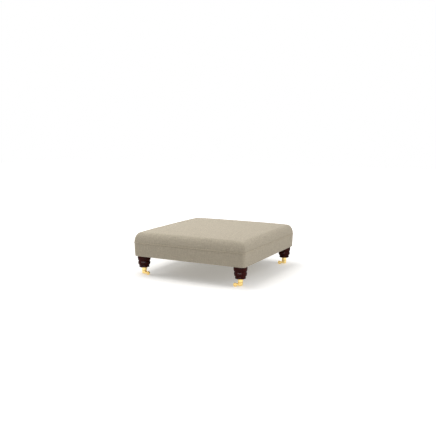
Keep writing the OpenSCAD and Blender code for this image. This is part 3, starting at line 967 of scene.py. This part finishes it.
@dataclass
class Cushion:
    """The crowned cushion: cover, wadding and foam as one stuffed form."""

    plan: Plan
    seam_z: float = 0.2615
    foot_z: float = 0.2564
    edge_z: float = 0.336
    crown: float = 0.016
    crown_power: float = 3.5
    side_in: float = 0.003
    seam_in: float = 0.0052
    roll_w: float = 0.044
    roll_lift: float = 0.0016
    roll_steps: int = 22
    fullness: float = 1.9
    corner_power: int = 6
    # The step in behind the piping: its inset, how its foot turns up, and how far below the seam it ends
    piping_reach: float = 0.009
    foot_round: Pair = (0.004, 0.0012)
    piping_top: float = 0.0015
    # How far below and above the seam's height the cover leaves it
    seam_rise: Pair = (0.0002, 0.0004)
    # The stuffing's simulation
    frames: int = 20
    pressure: float = 4.0
    cloth_mass: float = 0.3
    quality: int = 4
    stretch: float = 15.0
    shear: float = 5.0
    bending: float = 20.0
    sewn_over: float = 0.0015
    foam_hold: float = 0.3
    slack: float = 0.005
    slack_reach: float = 0.14
    slack_steps: int = 10
    most_move: float = 0.0016
    swelling: float = 0.0005
    # Small tucks all along the seam, and larger ones beside the corners
    pucker: float = 0.0008
    pucker_pitch: float = 0.016
    pucker_fade: float = 0.007
    pucker_under: float = 0.001
    tuck_share: float = 0.8
    tuck_pitch: float = 0.021
    tuck_fade: float = 0.022
    tuck_range: Pair = (0.86, 0.97)
    rim_range: Pair = (0.86, 0.93)
    seeds: tuple[int, int] = (3, 8)

    @property
    def start_z(self) -> float:
        """Height of the top's edge before the pressure lifts it."""
        return self.edge_z - self.swelling

    def swell(self, x: Array, y: Array) -> Array:
        """Rise of the crown: one minus a power of the way out along X, times the same along Y."""
        across = 1 - np.abs(2 * x / self.plan.width) ** self.crown_power
        return self.crown * across * (1 - np.abs(2 * y / self.plan.depth) ** self.crown_power)

    def roll(self) -> tuple[Array, Array]:
        """Insets and heights of the rolled edge.

        The inset grows as one minus a power of the cosine and the height as that power of the sine, which
        for a fullness of 2 is a quarter ellipse.

        Returns:
            The insets and the heights, from the seam up.
        """
        a = np.linspace(0, math.pi / 2, self.roll_steps + 1)
        low = self.seam_z + self.roll_lift
        power = 2 / self.fullness
        inset = self.side_in + self.roll_w * (1 - np.cos(a).clip(0) ** power)
        return inset, low + (self.start_z - low) * np.sin(a) ** power

    def top(self) -> Array:
        """The top's points on a square grid.

        Each point is its place on a plain rectangle, plus what the nearest outline point moves by when the
        rectangle's corner is rounded, times the sixth power of how near the point is to the edge.

        Returns:
            The grid, rows along Y by columns along X by 3.
        """
        q = self.plan.steps()
        s, t = np.meshgrid(q, q)
        reach = np.maximum(np.maximum(np.abs(s), np.abs(t)), TINY)
        inset = self.side_in + self.roll_w
        half = np.array([self.plan.width, self.plan.depth]) / 2 - inset
        flat = joined(s, t) * half
        sideways = np.abs(s) > np.abs(t)
        place = np.where(sideways, t * np.sign(s), s * -np.sign(t)) / reach
        sides = self.plan.side_curve(inset, place)
        side = np.where(sideways, np.where(s > 0, 1, 3), np.where(t > 0, 2, 0))
        rows, cols = np.indices(side.shape)
        rounded = sides[side, rows, cols]
        plain = joined(s, t) / reach[..., None] * half
        flat = flat + (rounded - plain) * reach[..., None] ** self.corner_power
        x, y = flat[..., 0], flat[..., 1]
        return joined(x, y, self.start_z + self.swell(x, y))

    def side_rows(self) -> tuple[Array, Array]:
        """Rings from the underside out to the seam and up the rolled edge.

        Returns:
            The rings' points, and the length of cloth from each ring up to the top's edge.
        """
        foot_in, foot_up = self.foot_round
        tuck = [(self.side_in + self.roll_w, self.foot_z), (self.piping_reach + foot_in, self.foot_z)]
        tuck += [(self.piping_reach, self.foot_z + foot_up)]
        tuck += [(self.piping_reach, self.seam_z - self.piping_top)]
        below_seam, over_seam = self.seam_rise
        seam = [(self.seam_in, self.seam_z - below_seam)]
        seam += [((self.seam_in + self.side_in) / 2, self.seam_z + over_seam)]
        stops = np.array(tuck + seam + list(zip(*self.roll())))
        rings = []
        for k, (pull, z) in enumerate(stops):
            x, y = self.plan.ring(pull).T
            rise = self.swell(x, y) if k >= len(tuck + seam) else 0.0
            rings.append(joined(x, y, z + rise))
        steps = np.linalg.norm(np.diff(stops, axis=0), axis=1)
        below = np.concatenate([np.cumsum(steps[::-1])[::-1], [0]])
        return np.array(rings), below

    def shell(self) -> Shell:
        """The closed form with the cloth's map, which turns over the edge on each side.

        Returns:
            The mesh of the form.
        """
        shell = Shell()
        top = self.top()
        shell.grid(top, wrap_cols=False, uv=top[..., :2])
        rings, below = self.side_rows()
        way = self.plan.side_way()
        out = np.array([self.plan.depth, self.plan.width] * 2) / 2 - self.side_in - self.roll_w
        n = self.plan.side_points
        for side in range(4):
            cols = (np.arange(n + 1) + side * n) % (4 * n)
            uv = joined(way[side], -(out[side] + below)[:, None])
            shell.grid(rings[:, cols], wrap_cols=False, uv=uv)
        under = top[:, ::-1].copy()
        under[..., 2] = self.foot_z
        shell.grid(under, wrap_cols=False)
        return shell

    def hold(self, piece: bpy.types.Object, rest: Array) -> None:
        """Weights the cover: sewn down at the seam, softly borne by the foam above it, and its slack.

        The cloth is cut a little long beside the seam and taut in the middle: how taut it is follows one
        minus a smooth step of how near a point is to the edge, in steps.

        Args:
            piece: the cushion.
            rest: its points.
        """
        sewn = rest[:, 2] < self.seam_z + self.sewn_over
        held = piece.vertex_groups.new(name="held")
        held.add(np.flatnonzero(sewn).tolist(), 1.0, "REPLACE")
        held.add(np.flatnonzero(~sewn).tolist(), self.foam_hold, "REPLACE")
        out = 2 * np.maximum(np.abs(rest[:, 0]) / self.plan.width, np.abs(rest[:, 1]) / self.plan.depth)
        level = np.round(self.slack_steps * (1 - smooth_step(out, 1 - self.slack_reach, 1.0)))
        taut = piece.vertex_groups.new(name="taut")
        for k in range(1, self.slack_steps + 1):
            taut.add(np.flatnonzero(level == k).tolist(), k / self.slack_steps, "REPLACE")

    def stuff(self, piece: bpy.types.Object) -> None:
        """Lets pressure swell the cover as cloth.

        The move of each point is kept under a limit: the limit times the hyperbolic tangent of the move
        over the limit.

        Args:
            piece: the cushion.
        """
        mesh = piece.data
        rest = vertex_rows(mesh)
        self.hold(piece, rest)
        cloth = piece.modifiers.new("stuffing", "CLOTH")
        cloth.point_cache.frame_start = 1
        cloth.point_cache.frame_end = self.frames
        cloth.collision_settings.use_collision = False
        rules = cloth.settings
        rules.vertex_group_mass = "held"
        rules.use_pressure = True
        rules.uniform_pressure_force = self.pressure
        rules.effector_weights.gravity = 0.0
        rules.quality = self.quality
        rules.mass = self.cloth_mass
        rules.tension_stiffness = rules.compression_stiffness = self.stretch
        rules.shear_stiffness = self.shear
        rules.bending_stiffness = self.bending
        rules.vertex_group_shrink = "taut"
        rules.shrink_min = -self.slack
        rules.shrink_max = 0.0
        scene = bpy.context.scene
        for frame in range(1, self.frames + 1):
            scene.frame_set(frame)
        seen = piece.evaluated_get(bpy.context.evaluated_depsgraph_get())
        move = vertex_rows(seen.to_mesh()) - rest
        far = np.linalg.norm(move, axis=1, keepdims=True)
        piece.modifiers.remove(cloth)
        piece.vertex_groups.clear()
        scene.frame_set(1)
        LOG.info("cushion swelled by %.1f mm at most before its limit", far.max() / MM)
        move *= self.most_move * np.tanh(far / self.most_move) / np.maximum(far, TINY)
        move_to(mesh, rest + move)

    def pull_in_seam(self, piece: bpy.types.Object) -> None:
        """Draws the cover in over the seam in small uneven tucks.

        The tucks fade with the height over the seam as an exponential, and the cloth beside each corner
        has longer and deeper ones. They start at a smooth step of how near a point is to the rim.

        Args:
            piece: the cushion.
        """
        mesh = piece.data
        places = vertex_rows(mesh)
        normal = vertex_rows(mesh, "normal")
        x, y, z = places.T
        share = np.arctan2(y / self.plan.depth, x / self.plan.width) / (2 * math.pi)
        over = np.clip(z - self.seam_z, 0, None)
        out_x, out_y = 2 * np.abs(x) / self.plan.width, 2 * np.abs(y) / self.plan.depth
        small = ripple(share, self.plan.girth / self.pucker_pitch, self.seeds[0])
        large = ripple(share, self.plan.girth / self.tuck_pitch, self.seeds[1])
        small *= np.exp(-over / self.pucker_fade)
        large *= np.exp(-over / self.tuck_fade) * smooth_step(out_x * out_y, *self.tuck_range)
        wave = self.pucker * (small + self.tuck_share * large) * (z > self.seam_z - self.pucker_under)
        wave *= smooth_step(np.maximum(out_x, out_y), *self.rim_range)
        move_to(mesh, places - normal * wave[:, None])

    def build(self, finishes: Finishes) -> bpy.types.Object:
        """Makes the cushion.

        Args:
            finishes: the stool's finishes.

        Returns:
            The piece.
        """
        piece = self.shell().build("cushion", finishes.linen, sharp=75.0)
        self.stuff(piece)
        make_finer(piece)
        self.pull_in_seam(piece)
        return fit(piece, FIXED_BODY, Slot.LINEN, "top_cover", "wadding", "foam_pad")


@dataclass
class Piping:
    """The covered cord that is sewn into the seam all the way round."""

    plan: Plan
    z: float = 0.258
    diameter: float = 0.008
    gather: float = 0.00035
    gather_pitch: float = 0.013
    around: int = 20
    seed: int = 5

    def build(self, finishes: Finishes) -> bpy.types.Object:
        """Makes the cord: circles carried round the outline, their radius drawn in by small gathers.

        Args:
            finishes: the stool's finishes.

        Returns:
            The piece.
        """
        a = 2 * math.pi * np.arange(self.around)[::-1, None] / self.around
        radius = self.diameter / 2
        share = self.plan.way_round()
        r = radius - self.gather * ripple(share, self.plan.girth / self.gather_pitch, self.seed)
        outward = self.plan.outward(0.0, radius, hard=1.0)
        flat = self.plan.ring(radius, hard=1.0) + outward * (r * -np.cos(a))[..., None]
        v = np.linspace(0, math.pi * self.diameter, self.around + 1)
        shell = Shell()
        points = joined(flat[..., 0], flat[..., 1], self.z + r * np.sin(a))
        shell.grid(points, wrap_rows=True, uv=self.plan.cloth_map(share, v))
        # The cord's cloth is painted lighter than the linen, as painted light where the cord catches it
        piece = shell.build("piping", finishes.bias, sharp=80.0)
        add_finer(piece)
        return fit(piece, FIXED_BODY, Slot.LINEN, "piping_cord")


@dataclass
class Border:
    """The cloth band under the piping, stretched over the frame and turned in below."""

    plan: Plan
    seam_z: float = 0.254
    body_z: float = 0.152
    draw_in: float = 0.007
    draw_power: float = 1.5
    side_in: float = 0.003
    seam_depth: float = 0.003
    seam_drop: float = 0.0028
    fold: float = 0.0022
    thickness: float = 0.0016
    turned_in: float = 0.028
    wall_rows: int = 22
    turn_rows: int = 6
    outward_reach: float = 0.004
    pucker: float = 0.0006
    pucker_pitch: float = 0.017
    pucker_fade: float = 0.008
    seed: int = 11
    # Slack waves of the cloth: height, number of waves all round, and phase
    waves: tuple[tuple[float, int, float], ...] = ((0.0005, 9, 1.0), (0.0004, 17, 0.0))
    # How much shorter the band is than the outline, since it lies a few millimetres inside it
    shorter: float = 0.03

    def outside(self) -> Array:
        """Profile of the band's outside, from the inner edge of the turned-in cloth round the fold and up.

        The wall's inset falls from the draw-in to the side's as a power of one minus the height. The fold
        and the turn into the seam are quarter ellipses.

        Returns:
            Insets and heights.
        """
        rise = np.linspace(0, 1, self.wall_rows)
        low, high = self.body_z + 2 * self.fold, self.seam_z - self.seam_drop
        lean = self.side_in + (self.draw_in - self.side_in) * (1 - rise) ** self.draw_power
        wall = joined(lean, low + (high - low) * rise)
        a = np.linspace(0, math.pi / 2, self.turn_rows - 1)[:-1]
        bend = joined(self.fold * (1 - np.sin(a)), 2 * self.fold * (1 - np.cos(a)))
        bend += [self.draw_in, self.body_z]
        under = np.linspace(self.draw_in + self.turned_in, self.draw_in + self.fold * 2, self.turn_rows)
        b = np.linspace(0, math.pi / 2, self.turn_rows)[1:]
        seam = joined(self.seam_depth * (1 - np.cos(b)), self.seam_drop * (np.sin(b) - 1))
        seam += [self.side_in, self.seam_z]
        return np.concatenate([joined(under, self.body_z), bend, wall, seam])

    def rings(self, loop: Array, share: Array) -> Array:
        """Carries a profile round the body.

        The outline moves in by the tucks, which fade away from the seam as an exponential, and out by the
        slack, which follows half a sine over the height.

        Args:
            loop: insets and heights.
            share: share of the way round at each point of the outline.

        Returns:
            Points, the profile's by the outline's by 3.
        """
        tuck = self.pucker * ripple(share, self.plan.girth / self.pucker_pitch, self.seed)
        slack = sum(size * np.sin(2 * math.pi * count * share + phase) for size, count, phase in self.waves)
        rings = []
        for inset, z in loop:
            near = math.exp(-abs(self.seam_z - z) / self.pucker_fade)
            level = min(max((z - self.body_z) / (self.seam_z - self.body_z), 0), 1)
            move = -tuck * near + slack * math.sin(math.pi * level)
            outward = self.plan.outward(inset, self.outward_reach)
            x, y = (self.plan.ring(inset) + outward * move[:, None]).T
            rings.append(joined(x, y, z))
        return np.array(rings)

    def build(self, finishes: Finishes) -> bpy.types.Object:
        """Makes the band: its outside, and an inside that follows it one thickness in, as a closed skin.

        Args:
            finishes: the stool's finishes.

        Returns:
            The piece.
        """
        outer = self.outside()
        step = np.gradient(outer, axis=0)
        normal = joined(step[:, 1], -step[:, 0]) / np.linalg.norm(step, axis=1, keepdims=True)
        loop = np.concatenate([outer, (outer + normal * self.thickness)[::-1]])
        share = self.plan.way_round()
        away = np.concatenate([[0], np.cumsum(np.linalg.norm(np.diff(loop, axis=0), axis=1))])
        uv = self.plan.cloth_map(share, np.append(away, away[-1] + self.thickness))
        shell = Shell()
        shell.grid(self.rings(loop, share), wrap_rows=True, uv=uv)
        piece = shell.build("border", finishes.linen, sharp=75.0)
        return fit(piece, FIXED_BODY, Slot.LINEN, "border_panel", "border_wadding")


@dataclass
class Underside:
    """The thin black cloth under the frame."""

    plan: Plan
    inset: float = 0.019
    top_z: float = 0.152
    thickness: float = 0.001
    sag: float = 0.003
    sag_power: float = 1.5
    steps: int = 90
    scallop: float = 0.0012
    scallops: float = 11.5
    edge_power: int = 20

    def build(self, finishes: Finishes) -> bpy.types.Object:
        """Makes the cloth: two sheets a thickness apart, and a rim.

        They sag by a power of the product of two parabolas. The edge is scalloped: drawn in by a squared
        sine along it, which fades inwards as a high power of the way out.

        Args:
            finishes: the stool's finishes.

        Returns:
            The piece.
        """
        half = np.array([self.plan.width, self.plan.depth]) / 2 - self.inset
        q = np.linspace(-1, 1, self.steps + 1)
        s, t = np.meshgrid(q, q)
        edge = self.scallop * np.sin(q * math.pi * self.scallops) ** 2
        x = s * (half[0] - edge[:, None] * np.abs(s) ** self.edge_power)
        y = t * (half[1] - edge[None, :] * np.abs(t) ** self.edge_power)
        dip = self.sag * np.clip((1 - s**2) * (1 - t**2), 0, 1) ** self.sag_power
        low = joined(x, y, self.top_z - self.thickness - dip)
        high = low + [0, 0, self.thickness]
        shell = Shell()
        shell.grid(high, wrap_cols=False, uv=high[..., :2])
        shell.grid(low[:, ::-1], wrap_cols=False, uv=low[:, ::-1, :2])
        rim = [np.concatenate([g[0, :-1], g[:-1, -1], g[-1, :0:-1], g[:0:-1, 0]]) for g in (low, high)]
        rim_uv = np.array(rim)[..., :2]
        shell.grid(np.array(rim), uv=np.concatenate([rim_uv, rim_uv[:, :1]], 1))
        piece = shell.build("dust_cloth", finishes.underside, sharp=60.0)
        return fit(piece, FIXED_BODY, Slot.DUST_CLOTH, "dust_cover")


# Legs and castors


@dataclass
class TurnedLeg:
    """One turned leg: foot ring, neck, bulb, cove and collar."""

    corner: Corner
    low_z: float = 0.061
    tenon_r: float = 0.0170
    tenon_z: float = 0.035
    easing: float = 0.0003
    segments: int = 96

    def profile(self) -> Array:
        """Radius and height of the turning over the leg's foot.

        The ring, bulb and collar are elliptical arcs. A hollow neck lies between the ring and the bulb, and
        a small square fillet and a cove between the bulb and the collar.

        Returns:
            Points from the tenon's end to the leg's top, in metres.
        """
        tenon_r, tenon_z = self.tenon_r / MM, self.tenon_z / MM - self.low_z / MM
        mm = np.concatenate(
            [
                [[0, tenon_z], [tenon_r, tenon_z], [tenon_r, 0]],
                # Foot ring, neck and bulb
                arc(37.2, 5.6, 2.8, 5.6, -90, 78, 14),
                arc(39.2, 14.2, 1.9, 2.4, 245, 115, 7),
                arc(38.6, 35.8, 8.9, 18.6, -84, 44, 26),
                # Fillet and cove
                [[44.2, 49.6], [44.2, 51.0]],
                arc(46.6, 51.6, 2.0, 2.4, 190, 120, 6),
                # Collar and its upper edge
                arc(46.0, 75.6, 5.0, 21.0, -84, 0, 18),
                arc(49.0, 86.0, 2.0, 4.0, 0, 84, 6),
                [[47.0, 90.0], [0, 90.0]],
            ]
        )
        return mm * MM

    def build(self, finishes: Finishes) -> bpy.types.Object:
        """Makes the leg.

        Args:
            finishes: the stool's finishes.

        Returns:
            The piece.
        """
        shell = Shell()
        place = on_leg_axis(self.corner, self.low_z)
        spin(shell, eased(self.profile(), self.easing), place, self.segments)
        piece = shell.build(f"turned_leg_{self.corner.title}", finishes.mahogany, sharp=50.0)
        return fit(piece, FIXED_BODY, Slot.MAHOGANY, f"leg_{self.corner.title}")


@dataclass
class Castor:
    """One brass castor: cup, horn, wheel and axle.

    Lengths are in metres, apart from the fields whose names end in mm.
    """

    corner: Corner
    trail: float = 0.038
    wheel_r: float = 0.015
    sharp: float = 38.0
    segments: int = 72
    # Radius of the kingpin's bore; radius and top of the recess below it
    bore_r_mm: float = 4.05
    recess_mm: Pair = (6.2, 11.0)
    # Height of the cup's foot over the floor
    cup_z_mm: float = 32.5
    # Each cheek's inner and outer face, the top of its root, and the radius of its edges
    cheek_mm: Pair = (7.1, 10.6)
    root_top_mm: float = 26.4
    edge_mm: float = 0.6
    # Number of screws, their height, how far out their faces lie, and how deep their slots are
    screws: int = 3
    screw_z_mm: float = 49.6
    head_out_mm: float = 19.6
    slot_mm: float = 0.7

    @property
    def swivel(self) -> Place:
        """The frame on the floor under the leg, whose first axis is the way the castor trails."""
        cos, sin = math.cos(self.corner.heading), math.sin(self.corner.heading)
        return Place(on_leg_axis(self.corner).origin, np.array([cos, sin, 0]), np.array([-sin, cos, 0]))

    @property
    def axle_place(self) -> Place:
        """The frame at the wheel's middle, whose third axis is the axle's."""
        origin = self.swivel.put(np.array([self.trail, 0, self.wheel_r]))
        return Place(origin, self.swivel.axis, self.swivel.along)

    @property
    def swivel_body(self) -> str:
        """The name of the body that turns about the kingpin."""
        return f"swivel_{self.corner.title}"

    def finish_piece(
        self, shell: Shell, name: str, node: str, body: str, slot: Slot, material: bpy.types.Material
    ) -> bpy.types.Object:
        """Builds a piece, sets it on its body and lets it stand for its node.

        Args:
            shell: its mesh.
            name: its name without the corner.
            node: its node's name without the corner.
            body: its body.
            slot: its slot.
            material: its finish.

        Returns:
            The piece.
        """
        piece = shell.build(f"{name}_{self.corner.title}", material, sharp=self.sharp)
        return fit(piece, body, slot, f"{node}_{self.corner.title}")

    def cup(self, finishes: Finishes) -> bpy.types.Object:
        """The cup: a rounded foot, a plain wall with a bead at its rim, and the bore for the kingpin.

        Args:
            finishes: the stool's finishes.

        Returns:
            The piece.
        """
        mm = np.concatenate(
            [
                [[self.bore_r_mm, 0]],
                arc(16.0, 3.0, 3.0, 3.0, -90, 0, 8),
                [[19.0, 25.2], [18.7, 25.6]],
                arc(19.0, 27.2, 1.3, 1.3, -75, 90, 10),
                [[17.1, 28.5], [17.1, 2.5], [self.bore_r_mm, 2.5]],
            ]
        )
        shell = Shell()
        outline = eased(mm + [0, self.cup_z_mm], 0.3, closed=True) * MM
        spin(shell, outline, on_leg_axis(self.corner), self.segments, closed=True)
        return self.finish_piece(shell, "cup", "castor_cup", FIXED_BODY, Slot.BRASS, finishes.brass)

    def cheek_outline(self) -> Array:
        """Side view of a cheek: a deep root at the column that narrows in a hollow curve to the eye.

        Returns:
            Closed outline in metres, along the trail and up.
        """
        eye = arc(38.0, 15.0, 6.0, 6.0, -82, 90, 18)
        hollow = arc(38.0, self.root_top_mm, -20.0, -5.4, 90, 0, 10)[1:]
        under = np.array([[0.0, 11.0], [18.0, 10.2]])
        return np.concatenate([under, eye, hollow, [[0.0, self.root_top_mm]]]) * MM

    def horn(self, finishes: Finishes) -> bpy.types.Object:
        """The horn: a column with a rounded foot, bored for the kingpin, and two cheeks.

        Args:
            finishes: the stool's finishes.

        Returns:
            The piece.
        """
        recess_r, recess_z = self.recess_mm
        mm = np.concatenate(
            [
                [[recess_r, 8.0]],
                arc(13.0, 13.0, 5.0, 5.0, -90, 0, 10),
                [[18.0, 27.6], [17.7, 28.0]],
                arc(16.8, 30.0, 1.3, 1.4, -40, 90, 8),
                [[self.bore_r_mm, 31.4], [self.bore_r_mm, recess_z], [recess_r, recess_z]],
            ]
        )
        shell = Shell()
        swivel = self.swivel
        spin(shell, eased(mm, 0.35, closed=True) * MM, swivel, self.segments, closed=True)
        # The plate's third axis is minus the swivel's side, so that its outline is anticlockwise
        face = Place(swivel.origin, swivel.along, swivel.axis)
        for side in (-1, 1):
            low, high = sorted(side * reach * MM for reach in self.cheek_mm)
            plate(shell, self.cheek_outline(), low, high, self.edge_mm * MM, face)
        return self.finish_piece(shell, "horn", "castor_horn", self.swivel_body, Slot.BRASS, finishes.brass)

    def wheel(self, finishes: Finishes) -> bpy.types.Object:
        """The wheel: a crowned tread with rounded edges, and on each face a rim, a dish and a hub.

        Args:
            finishes: the stool's finishes.

        Returns:
            The piece.
        """
        half = [[3.05, 6.5], [5.2, 6.5], [6.0, 4.9], [10.6, 4.9], [11.4, 6.5], [12.6, 6.5]]
        tread = arc(13.0, 4.5, 1.85, 2.0, 80, 12, 6)
        over = np.concatenate([half, tread])[::-1]
        mm = np.concatenate([over[::-1] * [1, -1], [[self.wheel_r / MM, 0]], over])
        shell = Shell()
        spin(shell, eased(mm, 0.3, closed=True) * MM, self.axle_place, self.segments, closed=True)
        body = f"wheel_{self.corner.title}"
        return self.finish_piece(shell, "wheel", "castor_wheel", body, Slot.BRASS, finishes.brass)

    def axle(self, finishes: Finishes) -> bpy.types.Object:
        """The axle: a pin with a low domed head at each end.

        Args:
            finishes: the stool's finishes.

        Returns:
            The piece.
        """
        dome = arc(0, 10.6, 4.5, 1.3, 0, 90, 8)
        half = np.concatenate([[[3.0, 10.4], [4.4, 10.5]], dome])
        mm = np.concatenate([half[::-1] * [1, -1], half])
        shell = Shell()
        spin(shell, mm * MM, self.axle_place, 40)
        return self.finish_piece(
            shell, "axle_pin", "axle", self.swivel_body, Slot.PIN_BRASS, finishes.pin_brass
        )

    def screw_heads(self, shell: Shell) -> None:
        """Adds the cup's screws: a slotted head whose slot is a smooth step down across the middle.

        Args:
            shell: the mesh that holds every castor's screws.
        """
        shank = [[1.5, 8.5], [1.5, 17.3], [3.0, 19.0], [3.0, 19.3], [2.75, 19.5], [2.4, 19.58]]
        profile = np.concatenate([shank, joined(np.linspace(2.0, 0.4, 5), self.head_out_mm)])
        r, z = profile[:, :1], profile[:, 1:]
        t = 2 * math.pi * np.arange(48) / 48
        u, v = r * np.cos(t), r * np.sin(t)
        slot = self.slot_mm * (1 - smooth_step(np.abs(u), 0.28, 0.5)) * (z > 19.4)
        points = joined(u, v, z - slot) * MM
        poles = np.array([[0, 0, profile[0, 1]], [0, 0, self.head_out_mm - self.slot_mm]]) * MM
        origin = on_leg_axis(self.corner, self.screw_z_mm * MM).origin
        for k in range(self.screws):
            a = math.radians(360 * (k + 0.25) / self.screws)
            across = np.array([-math.sin(a), math.cos(a), 0.0])
            place = Place(origin, across, UPRIGHT.axis)
            shell.grid(place.put(points), poles=tuple(place.put(poles)))

    def build(self, finishes: Finishes) -> None:
        """Makes all four pieces.

        Args:
            finishes: the stool's finishes.
        """
        self.cup(finishes)
        self.horn(finishes)
        self.wheel(finishes)
        self.axle(finishes)


# Studio


@dataclass(frozen=True)
class Lamp:
    """A soft lamp that faces the stool: its place, its width and height, and its power."""

    name: str
    place: Point
    size: Pair
    power: float
    aim: Point = (0.0, 0.0, 0.2)

    def hang(self) -> bpy.types.Object:
        """Adds the lamp to the scene.

        Returns:
            The lamp.
        """
        data = bpy.data.lights.new(self.name, "AREA")
        data.shape = "RECTANGLE"
        data.size, data.size_y = self.size
        data.energy = self.power
        lamp = bpy.data.objects.new(self.name, data)
        bpy.context.scene.collection.objects.link(lamp)
        lamp.location = self.place
        lamp.rotation_euler = (Vector(self.aim) - Vector(self.place)).to_track_quat("-Z", "Y").to_euler()
        return lamp


@dataclass
class Studio:
    """A pale floor, soft lamps, a white world and the camera at the photograph's place."""

    focal_px: float = 614.29
    frame_px: float = 436.0
    sensor_mm: float = 36.0
    azimuth: float = 27.593
    pitch: float = 8.128
    place: Point = (2.2723, -4.3270, 1.1166)
    ambient: float = 0.32
    floor_half: float = 14.0
    floor_tones: tuple[Colour, Colour] = ((0.82, 0.81, 0.795), (0.82, 0.815, 0.805))
    floor_glow: float = 0.36
    glow_near: float = 0.4
    glow_far: float = 2.0
    # Painted bounce light: a warmer tint on the floor's glow near the stool, and the distances over which it
    # fades to white
    warm: Colour = (1.0, 0.95, 0.85)
    warm_range: Pair = (0.3, 0.8)
    lamps: tuple[Lamp, ...] = (
        Lamp("overhead_lamp", (-0.6, 0.0, 3.2), (2.0, 2.0), 46.5),
        Lamp("left_lamp", (-2.9, -1.0, 1.8), (1.6, 1.6), 25.0),
        Lamp("right_lamp", (3.2, -0.3, 2.2), (2.2, 2.2), 33.0),
    )
    card: Lamp = Lamp("glint_card", (0.7, -4.4, 1.5), (6.2, 2.9), 650.0)

    def camera(self) -> None:
        """Sets the camera: its lens is the focal length over the frame's width, times the sensor's."""
        data = bpy.data.cameras.new("view")
        data.sensor_width = self.sensor_mm
        data.lens = self.sensor_mm * self.focal_px / self.frame_px
        data.clip_start = 0.1
        data.clip_end = 100.0
        camera = bpy.data.objects.new("view", data)
        bpy.context.scene.collection.objects.link(camera)
        turn = Matrix.Rotation(math.radians(self.azimuth), 4, "Z")
        turn = turn @ Matrix.Rotation(math.radians(90 - self.pitch), 4, "X")
        camera.matrix_world = Matrix.Translation(Vector(self.place)) @ turn
        bpy.context.scene.camera = camera

    def seen(self, nodes: Tree) -> bpy.types.NodeSocket:
        """Is 1 for what is seen straight, in gloss or through glass, and 0 for what lights a surface.

        Args:
            nodes: the material's or the world's builder.

        Returns:
            The value.
        """
        path = nodes.add("ShaderNodeLightPath").outputs
        mirrored = nodes.math("MAXIMUM", path["Is Glossy Ray"], path["Is Transmission Ray"])
        return nodes.math("MAXIMUM", path["Is Camera Ray"], mirrored)

    def world(self) -> None:
        """A white world that shows at full strength in view, in gloss and through glass, and lights less."""
        world = bpy.data.worlds.new("studio")
        bpy.context.scene.world = world
        world.use_nodes = True
        nodes = Tree(world.node_tree)
        back = world.node_tree.nodes["Background"]
        back.inputs["Color"].default_value = (*WHITE, 1.0)
        nodes.feed(back.inputs["Strength"], nodes.levels(self.seen(nodes), 0, 1, self.ambient, 1.0))

    def floor(self) -> None:
        """A wide pale floor that keeps the stool's shadow and is white where it is open.

        What is seen of it glows, as painted light: faintly near the stool, where it lifts the shadow and
        carries a painted warmer tint for light bounced off the cloth, rising with the distance from the
        origin to plain white.
        """
        material, nodes, shader = new_material("pale_floor")
        where = nodes.add("ShaderNodeTexCoord").outputs["Object"]
        nodes.feed(shader.inputs["Base Color"], nodes.blend(nodes.noise(where, 0.8), *self.floor_tones))
        shader.inputs["Roughness"].default_value = 0.9
        shader.inputs["Specular IOR Level"].default_value = 0.0
        away = nodes.add("ShaderNodeVectorMath", {0: where}, operation="LENGTH").outputs["Value"]
        strength = nodes.levels(away, self.glow_near, self.glow_far, self.floor_glow, 1.0)
        strength = nodes.math("MULTIPLY", self.seen(nodes), strength)
        # Painted bounce light: the glow is tinted warmer near the stool
        colour = nodes.blend(nodes.levels(away, *self.warm_range), self.warm, WHITE)
        glow = nodes.add("ShaderNodeEmission", {"Color": colour, "Strength": strength})
        both = nodes.add("ShaderNodeAddShader", {0: shader.outputs[0], 1: glow.outputs[0]})
        nodes.feed(material.node_tree.nodes["Material Output"].inputs["Surface"], both.outputs[0])
        ends = np.array([-self.floor_half, self.floor_half])
        shell = Shell()
        shell.grid(joined(ends[None, :], ends[:, None], 0.0), wrap_cols=False)
        shell.build("floor", material)

    def glint(self, polished: list[bpy.types.Object]) -> None:
        """Adds the bright card beside the camera that only polished wood mirrors.

        Args:
            polished: the pieces that mirror it.
        """
        card = self.card.hang()
        card.visible_diffuse = False
        shown_in = bpy.data.collections.new("polished")
        for piece in polished:
            shown_in.objects.link(piece)
        card.light_linking.receiver_collection = shown_in

    def build(self, polished: list[bpy.types.Object]) -> None:
        """Sets the studio up.

        Args:
            polished: the pieces that mirror the bright card.
        """
        self.camera()
        self.world()
        self.floor()
        for lamp in self.lamps:
            lamp.hang()
        self.glint(polished)
        bpy.context.scene.view_settings.view_transform = "Standard"
        LOG.info("studio is set")


def main() -> None:
    """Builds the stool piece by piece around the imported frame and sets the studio."""
    logging.basicConfig(level=logging.INFO, format="%(name)s: %(message)s")
    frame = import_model()
    finishes = Finishes()
    finishes.dress_frame(frame["nodes"])
    plan = Plan()
    for part in (Cushion(plan), Piping(plan), Border(plan), Underside(plan)):
        part.build(finishes)
    screws = Shell()
    legs = []
    for corner in Corner:
        legs.append(TurnedLeg(corner).build(finishes))
        castor = Castor(corner)
        castor.build(finishes)
        castor.screw_heads(screws)
    heads = screws.build("cup_screw_heads", finishes.pin_brass, sharp=35.0)
    fit(heads, FIXED_BODY, Slot.BRASS, "cup_screws")
    Studio().build(legs)


if __name__ == "__main__":
    main()
